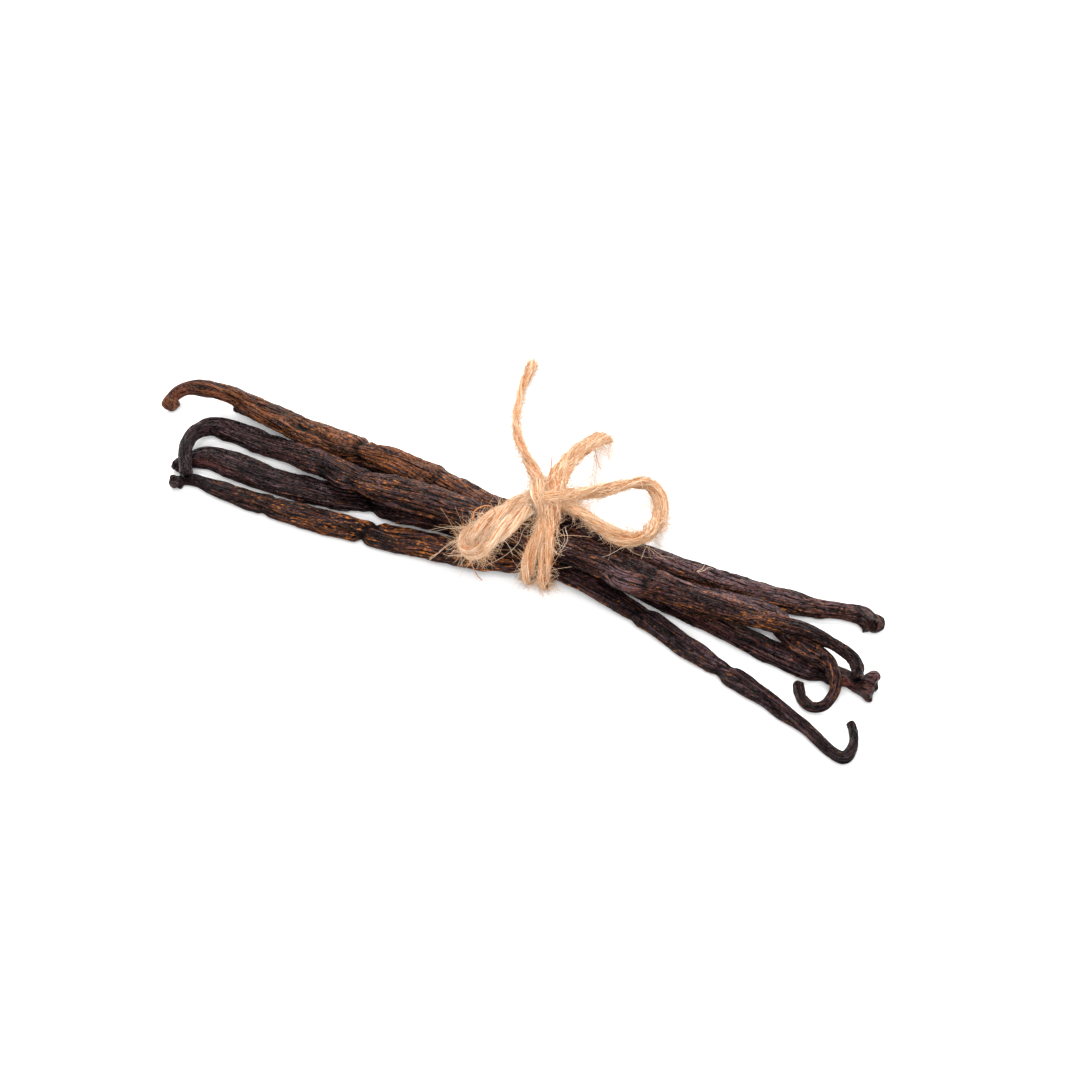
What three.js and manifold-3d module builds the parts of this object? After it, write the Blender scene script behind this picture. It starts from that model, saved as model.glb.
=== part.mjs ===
// Five cured vanilla pods gathered in the middle by jute twine tied in a bow.
// Millimetres, +Z up. The pods run along X with their drooping ends on the table. Routes are
// measured from the table under the tie, and the finished bundle is moved so that its origin
// lies under the middle of the tied pods.

import * as THREE from 'three';
import { mergeVertices } from 'three/addons/utils/BufferGeometryUtils.js';
import Module from 'manifold-3d';

const wasm = await Module();
wasm.setup();

// ------------------------------------------------------------------------------------------------
// Sizes

const GAP = 0.3;                 // air left between pieces that lie against each other
const POD_SIDES = 14;            // facets round a pod
const POD_RING_STEP = 3.5;       // distance between rings along a pod
const POD_END_RINGS = [0, 0.35, 0.8];   // rounding of each end, in end radii from the tip
const FURROWS = 5;               // broad lengthwise folds round a pod
const FURROW_DEPTH = 0.05;       // their depth, as a share of the pod's radius
const FURROW_TWIST = 0.035;      // turn of the folds along the pod, radians per mm
const CROWN_LOBES = 4;           // lobes of the dried flower end
const CROWN_DEPTH = 0.24;        // their height, as a share of the end's radius
const CROWN_LENGTH = 4.0;        // how far back from the tip the lobes start

const TWINE = 2.3;               // twine diameter
const TWINE_SIDES = 8;           // facets round the twine
const TWINE_STEP = 5.0;          // distance between rings along the twine
const KNOT_CENTRE = [-0.2, 4.4, 15.2];
const KNOT_SIZE = [7.6, 7.4, 6.2];
const KNOT_SEGMENTS = 10;        // facets round the knot
const KNOT_LAYERS = 7;           // facets from its bottom to its top

const POD_BROWN = 0x3a2218;
const POD_DARK = 0x241a1a;
const POD_ROUGHNESS = 0.45;
const TWINE_TAN = 0xe0b888;
const TWINE_ROUGHNESS = 0.9;
const WELD = 1e-4;               // corners closer than this are one

// ------------------------------------------------------------------------------------------------
// Pods. Each row is a place along the pod: x, y, z of its middle, then its width and its thickness.

const PODS = {
  pod_back: {
    colour: POD_BROWN,
    twist: 0.4,
    rows: [
      [-95.2, 2.5, 1.9, 3.0, 2.9],
      [-95.8, 4.0, 2.1, 4.0, 3.7],
      [-96.2, 6.1, 2.6, 3.0, 2.6],
      [-94.5, 8.4, 3.5, 3.4, 2.8],
      [-90.0, 10.0, 4.3, 4.3, 3.0],
      [-84.0, 10.4, 4.6, 4.3, 3.0],
      [-74.5, 9.4, 4.4, 5.9, 3.6],
      [-66.0, 8.5, 4.3, 6.2, 3.8],
      [-59.0, 7.8, 4.4, 6.9, 3.9],
      [-52.0, 7.3, 5.0, 7.3, 4.0],
      [-47.0, 7.0, 5.5, 5.6, 3.7],
      [-42.0, 7.0, 6.1, 6.3, 3.9],
      [-31.0, 5.8, 6.9, 6.4, 4.0],
      [-21.0, 4.4, 7.2, 6.1, 4.0],
      [-11.5, 2.9, 7.5, 5.8, 4.0],
      [1.0, 3.5, 8.7, 5.6, 4.1],
      [10.5, 4.0, 8.4, 5.6, 3.9],
      [18.5, 4.9, 7.1, 5.5, 3.8],
      [28.0, 6.5, 4.7, 5.6, 3.6],
      [37.0, 8.0, 3.1, 5.9, 3.6],
      [46.5, 9.2, 2.0, 5.9, 3.6],
      [56.0, 10.4, 1.6, 5.5, 3.4],
      [61.0, 11.4, 1.4, 4.4, 3.1],
      [66.5, 13.0, 1.4, 3.9, 3.0],
      [71.0, 13.5, 1.5, 4.4, 3.4],
      [74.4, 12.0, 1.6, 4.9, 3.7],
      [75.3, 10.7, 1.6, 4.6, 3.4],
    ],
  },
  pod_top: {
    colour: POD_DARK,
    twist: 1.7,
    rows: [
      [-80.2, -15.4, 4.6, 2.2, 2.0],
      [-81.2, -14.2, 4.6, 2.8, 2.5],
      [-84.2, -9.4, 4.5, 2.8, 2.5],
      [-85.7, -5.2, 3.9, 3.1, 2.6],
      [-85.4, -1.2, 3.2, 3.7, 2.9],
      [-83.6, 1.6, 2.5, 4.9, 3.5],
      [-79.5, 2.7, 1.9, 5.9, 3.7],
      [-69.0, 2.4, 2.0, 5.9, 3.8],
      [-64.5, 2.1, 2.7, 5.6, 3.6],
      [-54.0, 0.6, 4.7, 6.7, 4.1],
      [-48.0, -1.0, 5.8, 6.6, 4.0],
      [-42.0, -2.0, 6.7, 6.0, 3.8],
      [-34.5, -2.1, 7.8, 7.7, 4.3],
      [-28.0, -2.0, 8.5, 8.1, 4.4],
      [-21.0, -2.1, 9.0, 7.7, 4.4],
      [-12.0, -2.3, 9.3, 7.0, 4.3],
      [2.0, -2.8, 9.3, 6.3, 4.4],
      [12.0, -2.6, 9.2, 6.7, 4.3],
      [17.0, -2.5, 9.0, 7.4, 4.4],
      [21.5, -2.8, 8.6, 9.0, 4.5],
      [26.0, -2.6, 8.2, 8.6, 4.4],
      [30.0, -2.1, 7.6, 7.1, 4.0],
      [37.0, -1.4, 6.7, 5.9, 3.7],
      [47.5, -0.6, 6.4, 5.4, 3.4],
      [54.0, -0.5, 6.6, 4.3, 3.1],
      [62.0, 0.3, 6.8, 3.7, 2.9],
      [70.6, -0.5, 6.4, 2.8, 2.4],
      [74.7, -2.0, 5.8, 2.6, 2.3],
      [76.6, -4.4, 5.3, 2.7, 2.4],
      [76.9, -6.2, 5.2, 2.8, 2.6],
    ],
  },
  pod_middle: {
    colour: POD_DARK,
    twist: 2.9,
    crown: true,
    rows: [
      [-85.5, -12.6, 1.3, 2.1, 1.7],
      [-85.3, -11.2, 1.4, 3.0, 2.2],
      [-83.8, -8.8, 1.4, 4.2, 2.7],
      [-80.5, -6.4, 1.6, 6.0, 3.3],
      [-71.5, -6.0, 1.7, 7.3, 3.7],
      [-64.0, -6.4, 1.7, 6.8, 3.6],
      [-58.0, -5.9, 1.7, 6.9, 3.7],
      [-49.0, -4.6, 1.7, 6.5, 3.6],
      [-41.5, -2.6, 1.8, 5.7, 3.4],
      [-38.0, -2.4, 2.0, 6.5, 3.5],
      [-32.0, -2.4, 2.6, 7.0, 3.7],
      [-22.0, -2.1, 3.5, 6.4, 3.6],
      [-12.0, -1.9, 4.4, 5.5, 3.6],
      [1.5, -1.2, 4.7, 4.2, 3.8],
      [11.0, -0.9, 4.5, 4.3, 3.5],
      [19.0, -0.9, 3.7, 4.3, 3.0],
      [30.0, -1.5, 2.4, 4.9, 2.9],
      [42.0, -2.0, 1.6, 5.6, 3.1],
      [54.0, -3.7, 1.5, 5.8, 3.1],
      [65.5, -4.7, 1.4, 5.4, 2.9],
      [70.0, -4.6, 1.4, 4.3, 2.7],
      [75.0, -4.2, 1.6, 3.6, 2.5],
      [77.0, -4.6, 1.9, 4.0, 3.2],
      [79.0, -4.6, 2.4, 6.4, 4.6],
      [80.6, -4.6, 2.4, 5.6, 4.0],
    ],
  },
  pod_front: {
    colour: POD_BROWN,
    twist: 4.1,
    rows: [
      [-84.5, -16.9, 1.2, 2.0, 1.6],
      [-83.8, -16.2, 1.3, 3.2, 2.4],
      [-82.0, -13.9, 1.0, 2.5, 1.9],
      [-79.5, -13.2, 1.0, 2.9, 2.1],
      [-72.0, -13.5, 1.3, 4.7, 2.8],
      [-62.5, -13.2, 1.4, 5.2, 3.0],
      [-55.0, -12.8, 1.5, 5.9, 3.3],
      [-43.0, -11.7, 1.5, 6.2, 3.4],
      [-38.5, -10.9, 1.5, 5.4, 3.2],
      [-34.0, -10.7, 1.7, 6.7, 3.6],
      [-22.5, -9.2, 2.5, 7.0, 3.9],
      [-13.0, -8.8, 3.5, 6.3, 3.7],
      [-5.0, -7.6, 4.5, 5.2, 3.6],
      [0.5, -5.7, 4.7, 4.1, 3.8],
      [5.5, -5.3, 4.6, 4.1, 3.6],
      [11.0, -5.4, 4.4, 4.2, 3.4],
      [16.0, -5.6, 3.7, 4.8, 3.2],
      [20.0, -6.0, 3.0, 5.1, 3.1],
      [25.5, -6.8, 2.3, 4.6, 2.9],
      [32.0, -8.1, 1.6, 5.5, 3.1],
      [40.5, -10.7, 1.5, 5.5, 3.1],
      [48.5, -12.9, 1.4, 4.0, 2.7],
      [53.5, -14.1, 1.4, 5.0, 3.0],
      [63.5, -17.1, 1.3, 4.0, 2.7],
      [72.5, -20.3, 1.1, 2.9, 2.4],
      [77.9, -22.9, 1.1, 2.8, 2.3],
      [80.9, -23.3, 1.1, 3.1, 2.5],
      [81.7, -20.5, 1.1, 2.3, 2.1],
      [81.3, -18.0, 1.1, 1.8, 1.8],
      [79.8, -15.3, 1.1, 1.8, 1.8],
      [79.0, -14.2, 1.1, 1.7, 1.7],
    ],
  },
  pod_curled: {
    colour: POD_DARK,
    twist: 5.3,
    rows: [
      [-82.6, 9.6, 1.0, 1.8, 1.6],
      [-80.6, 10.4, 1.1, 2.6, 2.0],
      [-73.5, 10.6, 1.0, 3.2, 2.1],
      [-66.5, 9.1, 1.0, 3.7, 2.2],
      [-58.0, 7.0, 1.2, 4.2, 2.4],
      [-50.0, 5.9, 1.6, 4.6, 2.8],
      [-43.0, 5.5, 2.3, 4.9, 3.0],
      [-31.0, 5.2, 3.4, 4.8, 3.1],
      [-23.0, 4.9, 3.8, 4.7, 3.2],
      [-12.0, 4.5, 4.4, 4.7, 3.5],
      [0.0, 3.8, 4.8, 4.6, 3.9],
      [9.0, 3.7, 4.4, 4.5, 3.4],
      [16.0, 3.4, 3.8, 4.3, 3.1],
      [23.0, 3.3, 3.2, 4.3, 3.0],
      [31.0, 3.2, 2.8, 4.4, 2.9],
      [40.0, 3.4, 2.9, 4.6, 2.9],
      [46.5, 4.1, 3.0, 5.0, 3.0],
      [50.5, 4.5, 3.0, 5.1, 3.0],
      [54.5, 4.1, 3.0, 4.9, 2.9],
      [57.6, 1.2, 3.3, 4.7, 2.8],
      [61.2, -1.4, 4.0, 4.7, 2.8],
      [64.6, -2.8, 4.6, 4.5, 2.7],
      [68.9, -4.1, 5.0, 3.9, 2.5],
      [71.7, -6.2, 4.8, 3.1, 2.3],
      [73.3, -9.6, 3.5, 2.5, 2.3],
      [72.6, -12.8, 2.2, 2.4, 2.2],
      [70.0, -14.0, 1.4, 2.4, 2.2],
      [67.3, -12.5, 1.0, 2.4, 2.2],
      [65.7, -10.2, 1.0, 2.4, 2.2],
      [65.3, -9.0, 1.0, 2.2, 2.0],
    ],
  },
};

// ------------------------------------------------------------------------------------------------
// Twine. Each route is the middle line of the twine.

// Once round the bundle, seen along X: down the front, under, up the back and into the knot.
const WRAP_SECTION = [
  [3.2, 14.6],
  [-0.6, 13.5],
  [-4.4, 13.15],
  [-8.0, 9.9],
  [-9.6, 5.1],
  [-8.1, 2.0],
  [-5.2, 1.25],
  [0.0, 1.25],
  [5.4, 1.3],
  [8.4, 3.9],
  [8.6, 8.4],
  [7.1, 12.0],
  [4.4, 14.8],
];
const WRAPS = [
  { front: 1.4, knot: 0.6 },
  { front: 5.0, knot: 1.8 },
];

const FREE_TWINE = {
  twine_tail_left: {
    diameter: 2.3,
    route: [
      [-3.4, 7.4, 15.4],
      [-6.4, 11.0, 14.2],
      [-10.7, 15.8, 11.9],
      [-15.0, 21.5, 9.2],
      [-18.3, 26.7, 6.8],
      [-21.0, 32.2, 4.6],
      [-23.2, 38.1, 2.7],
      [-24.8, 43.4, 1.6],
      [-25.6, 47.5, 1.2],
      [-25.9, 52.0, 1.2],
    ],
  },
  twine_tail_right: {
    diameter: 3.5,
    route: [
      [0.0, 6.6, 15.8],
      [-0.4, 9.2, 15.6],
      [-0.9, 13.4, 14.8],
      [-1.4, 18.1, 13.0],
      [-1.6, 23.5, 10.4],
      [-1.5, 28.8, 7.4],
      [-1.3, 33.5, 4.5],
      [-0.9, 37.0, 2.4],
    ],
  },
  twine_loop_right: {
    diameter: 3.0,
    route: [
      [2.8, 7.0, 15.2],
      [5.9, 10.6, 13.4],
      [8.5, 15.7, 10.6],
      [10.3, 20.6, 7.8],
      [12.1, 25.0, 5.0],
      [14.0, 27.4, 2.9],
      [16.2, 27.2, 1.8],
      [18.3, 24.9, 1.6],
      [19.6, 21.7, 1.8],
      [20.6, 17.3, 3.4],
      [21.3, 12.1, 6.8],
      [21.2, 7.5, 9.7],
      [19.9, 4.7, 11.3],
      [17.6, 3.5, 12.0],
      [14.7, 3.5, 12.5],
      [11.0, 4.2, 13.2],
      [7.4, 4.8, 14.0],
      [4.4, 5.1, 14.6],
    ],
  },
  twine_loop_left: {
    diameter: 2.5,
    route: [
      [-3.5, 3.8, 15.4],
      [-5.6, 1.3, 14.8],
      [-7.4, -1.8, 14.0],
      [-9.5, -4.7, 12.8],
      [-11.5, -7.2, 11.0],
      [-13.0, -9.2, 9.5],
      [-12.7, -10.6, 8.4],
      [-11.2, -10.7, 8.3],
      [-9.1, -9.0, 9.6],
      [-6.9, -6.3, 11.9],
      [-4.6, -3.0, 13.7],
      [-2.9, 0.9, 14.9],
    ],
  },
};

// ------------------------------------------------------------------------------------------------
// Shaping

const UP = new THREE.Vector3(0, 0, 1);

/** The value between two rows, eased so that a row's size is kept as a gentle high or low point. */
function between(a, b, share) {
  return a + (b - a) * THREE.MathUtils.smoothstep(share, 0, 1);
}

/** A pod's middle line, and its width and thickness at any share of its length. */
function podShape(rows) {
  const points = rows.map((row) => new THREE.Vector3(row[0], row[1], row[2]));
  const route = new THREE.CatmullRomCurve3(points, false, 'centripetal');
  route.arcLengthDivisions = 60 * rows.length;
  const size = (share) => {
    const place = route.getUtoTmapping(share) * (rows.length - 1);
    const index = Math.min(Math.floor(place), rows.length - 2);
    const [a, b] = [rows[index], rows[index + 1]];
    return [between(a[3], b[3], place - index), between(a[4], b[4], place - index)];
  };
  return { route, size, length: route.getLength() };
}

/** Where a pod has rings, as shares of its length, and how full each is: 0 at the tips, 1 along it. */
function podRings(shape) {
  const { length, size } = shape;
  const rings = [];
  for (const [end, sign] of [[0, 1], [1, -1]]) {
    const radius = size(end)[0] / 2;
    for (const step of POD_END_RINGS) {
      rings.push([end + (sign * step * radius) / length, Math.sqrt(1 - (1 - step) ** 2)]);
    }
  }
  const clear = (size(0)[0] + size(1)[0]) / 2 / length;
  const count = Math.round((length * (1 - clear)) / POD_RING_STEP);
  const start = size(0)[0] / 2 / length;
  const stop = 1 - size(1)[0] / 2 / length;
  for (let i = 0; i <= count; i += 1) {
    rings.push([start + ((stop - start) * i) / count, 1]);
  }
  return rings.sort((a, b) => a[0] - b[0]);
}

/** Drops the repeated corners of a closed surface and the faces that have shrunk to a line. */
function weld(geometry) {
  geometry.deleteAttribute('normal');
  geometry.deleteAttribute('uv');
  const welded = mergeVertices(geometry, WELD);
  const index = welded.index.array;
  const kept = [];
  for (let i = 0; i < index.length; i += 3) {
    const [a, b, c] = [index[i], index[i + 1], index[i + 2]];
    if (a !== b && b !== c && c !== a) {
      kept.push(a, b, c);
    }
  }
  welded.setIndex(kept);
  return welded;
}

/** A pod: a turned spindle, bent along its route and flattened to its width and thickness. */
function podGeometry({ rows, twist, crown }, grow = 0) {
  const shape = podShape(rows);
  const profile = podRings(shape).map(([share, full]) => new THREE.Vector2(full, share));
  const geometry = new THREE.LatheGeometry(profile, POD_SIDES);
  const corner = geometry.attributes.position;
  for (let i = 0; i < corner.count; i += 1) {
    const share = THREE.MathUtils.clamp(corner.getY(i), 0, 1);
    const middle = shape.route.getPointAt(share);
    const along = shape.route.getTangentAt(share);
    const side = new THREE.Vector3().crossVectors(along, UP).normalize();
    const rise = new THREE.Vector3().crossVectors(side, along);
    const [width, thickness] = shape.size(share);
    const turn = Math.atan2(corner.getZ(i), corner.getX(i));
    const place = share * shape.length;
    let relief = 1 + FURROW_DEPTH * Math.cos(FURROWS * turn + twist + FURROW_TWIST * place);
    if (crown) {
      const open = THREE.MathUtils.smoothstep(place, shape.length - CROWN_LENGTH, shape.length);
      relief += CROWN_DEPTH * open * Math.cos(CROWN_LOBES * turn);
    }
    const across = corner.getX(i) * ((width / 2) * relief + grow);
    const over = corner.getZ(i) * ((thickness / 2) * relief + grow);
    const point = middle.addScaledVector(side, across).addScaledVector(rise, over);
    corner.setXYZ(i, point.x, point.y, Math.max(point.z, 0));
  }
  return weld(geometry);
}

/** A length of twine along a route, with flat ends. */
function twineGeometry(points, diameter) {
  const middle = points.map((point) => new THREE.Vector3(...point));
  const route = new THREE.CatmullRomCurve3(middle, false, 'centripetal');
  const outline = new THREE.Shape();
  for (let i = 0; i < TWINE_SIDES; i += 1) {
    const turn = (2 * Math.PI * (i + 0.5)) / TWINE_SIDES;
    const [x, y] = [(diameter / 2) * Math.cos(turn), (diameter / 2) * Math.sin(turn)];
    if (i === 0) {
      outline.moveTo(x, y);
    } else {
      outline.lineTo(x, y);
    }
  }
  outline.closePath();
  const steps = Math.round(route.getLength() / TWINE_STEP);
  return weld(new THREE.ExtrudeGeometry(outline, { steps, extrudePath: route, curveSegments: 1 }));
}

/** One turn of twine round the bundle, wider apart at the front than at the knot. */
function wrapRoute({ front, knot }) {
  const high = WRAP_SECTION[0][1];
  return WRAP_SECTION.map(([y, z]) => [THREE.MathUtils.mapLinear(z, 0, high, front, knot), y, z]);
}

/** The rounded body of the knot. */
function knotGeometry(grow = 0) {
  const ball = new THREE.SphereGeometry(0.5, KNOT_SEGMENTS, KNOT_LAYERS);
  ball.scale(...KNOT_SIZE.map((size) => size + 2 * grow));
  ball.translate(...KNOT_CENTRE);
  return weld(ball);
}

// ------------------------------------------------------------------------------------------------
// Joining and cutting

function toSolid(geometry) {
  const vertProperties = Float32Array.from(geometry.attributes.position.array);
  const triVerts = Uint32Array.from(geometry.index.array);
  return new wasm.Manifold(new wasm.Mesh({ numProp: 3, vertProperties, triVerts }));
}

function toGeometry(solid) {
  const { vertProperties, triVerts, numProp } = solid.getMesh();
  const geometry = new THREE.BufferGeometry();
  const corners = new Float32Array((vertProperties.length / numProp) * 3);
  for (let i = 0; i * numProp < vertProperties.length; i += 1) {
    corners.set(vertProperties.subarray(i * numProp, i * numProp + 3), 3 * i);
  }
  geometry.setAttribute('position', new THREE.BufferAttribute(corners, 3));
  geometry.setIndex([...triVerts]);
  return geometry;
}

function named(name, geometry, colour, roughness) {
  geometry.computeVertexNormals();
  const finish = new THREE.MeshStandardMaterial({ color: colour, roughness, metalness: 0 });
  const mesh = new THREE.Mesh(geometry, finish);
  mesh.name = name;
  return mesh;
}

// ------------------------------------------------------------------------------------------------
// The bundle

const tied = new THREE.Group();

/** The knot and its two turns round the bundle as one solid, or the room they take up when grown. */
function tieSolid(grow = 0) {
  let solid = toSolid(knotGeometry(grow));
  for (const wrap of WRAPS) {
    solid = solid.add(toSolid(twineGeometry(wrapRoute(wrap), TWINE + 2 * grow)));
  }
  return solid;
}

// Pods that press together: the later one is hollowed slightly where the twine or an earlier pod
// lies against it.
const taken = [tieSolid(GAP)];
for (const name of ['pod_top', 'pod_back', 'pod_curled', 'pod_middle', 'pod_front']) {
  let solid = toSolid(podGeometry(PODS[name]));
  for (const room of taken) {
    solid = solid.subtract(room);
  }
  taken.push(toSolid(podGeometry(PODS[name], GAP)));
  tied.add(named(name, toGeometry(solid), PODS[name].colour, POD_ROUGHNESS));
}

tied.add(named('twine_tie', toGeometry(tieSolid()), TWINE_TAN, TWINE_ROUGHNESS));

const box = new THREE.Box3().setFromObject(tied);
const centre = box.getCenter(new THREE.Vector3());

const clearOfTie = tieSolid(GAP);
for (const [name, { route, diameter }] of Object.entries(FREE_TWINE)) {
  const solid = toSolid(twineGeometry(route, diameter)).subtract(clearOfTie);
  tied.add(named(name, toGeometry(solid), TWINE_TAN, TWINE_ROUGHNESS));
}

tied.position.set(-centre.x, -centre.y, -box.min.z);

const bundle = new THREE.Group();
bundle.add(tied);

export default bundle;
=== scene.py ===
"""Five cured vanilla pods gathered by jute twine tied in a bow.

Tables and formulas are in millimetres, measured from the table under the tie; `place_mesh` moves them to
the bundle's own origin and into metres. Every shape is a function of the place along it and the turn
around it, worked out for all of its points at once.
"""
import math

import bpy
import numpy as np
from mathutils import Matrix, Vector


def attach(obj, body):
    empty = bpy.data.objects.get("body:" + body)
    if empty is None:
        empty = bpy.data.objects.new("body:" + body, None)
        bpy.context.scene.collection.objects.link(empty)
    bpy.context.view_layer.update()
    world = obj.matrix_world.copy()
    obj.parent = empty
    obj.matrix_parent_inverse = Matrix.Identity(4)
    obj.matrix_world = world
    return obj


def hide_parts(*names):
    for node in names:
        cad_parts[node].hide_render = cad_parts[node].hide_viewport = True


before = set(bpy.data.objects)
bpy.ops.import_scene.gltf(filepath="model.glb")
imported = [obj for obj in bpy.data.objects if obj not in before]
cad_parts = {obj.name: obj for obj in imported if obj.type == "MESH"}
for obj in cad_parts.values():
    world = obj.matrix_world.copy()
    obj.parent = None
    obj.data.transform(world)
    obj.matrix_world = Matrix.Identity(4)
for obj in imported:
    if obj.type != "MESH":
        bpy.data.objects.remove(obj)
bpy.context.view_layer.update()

MM = 0.001
FROM_TIE = np.array([7.36, 4.567, 0.0])  # from the table under the tie to the bundle's origin
UPRIGHT = np.array([0.0, 0.0, 1.0])
ACROSS = np.array([1.0, 0.0, 0.0])

# ---- The tables: middle line x, y, z, then width and thickness ----

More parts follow.
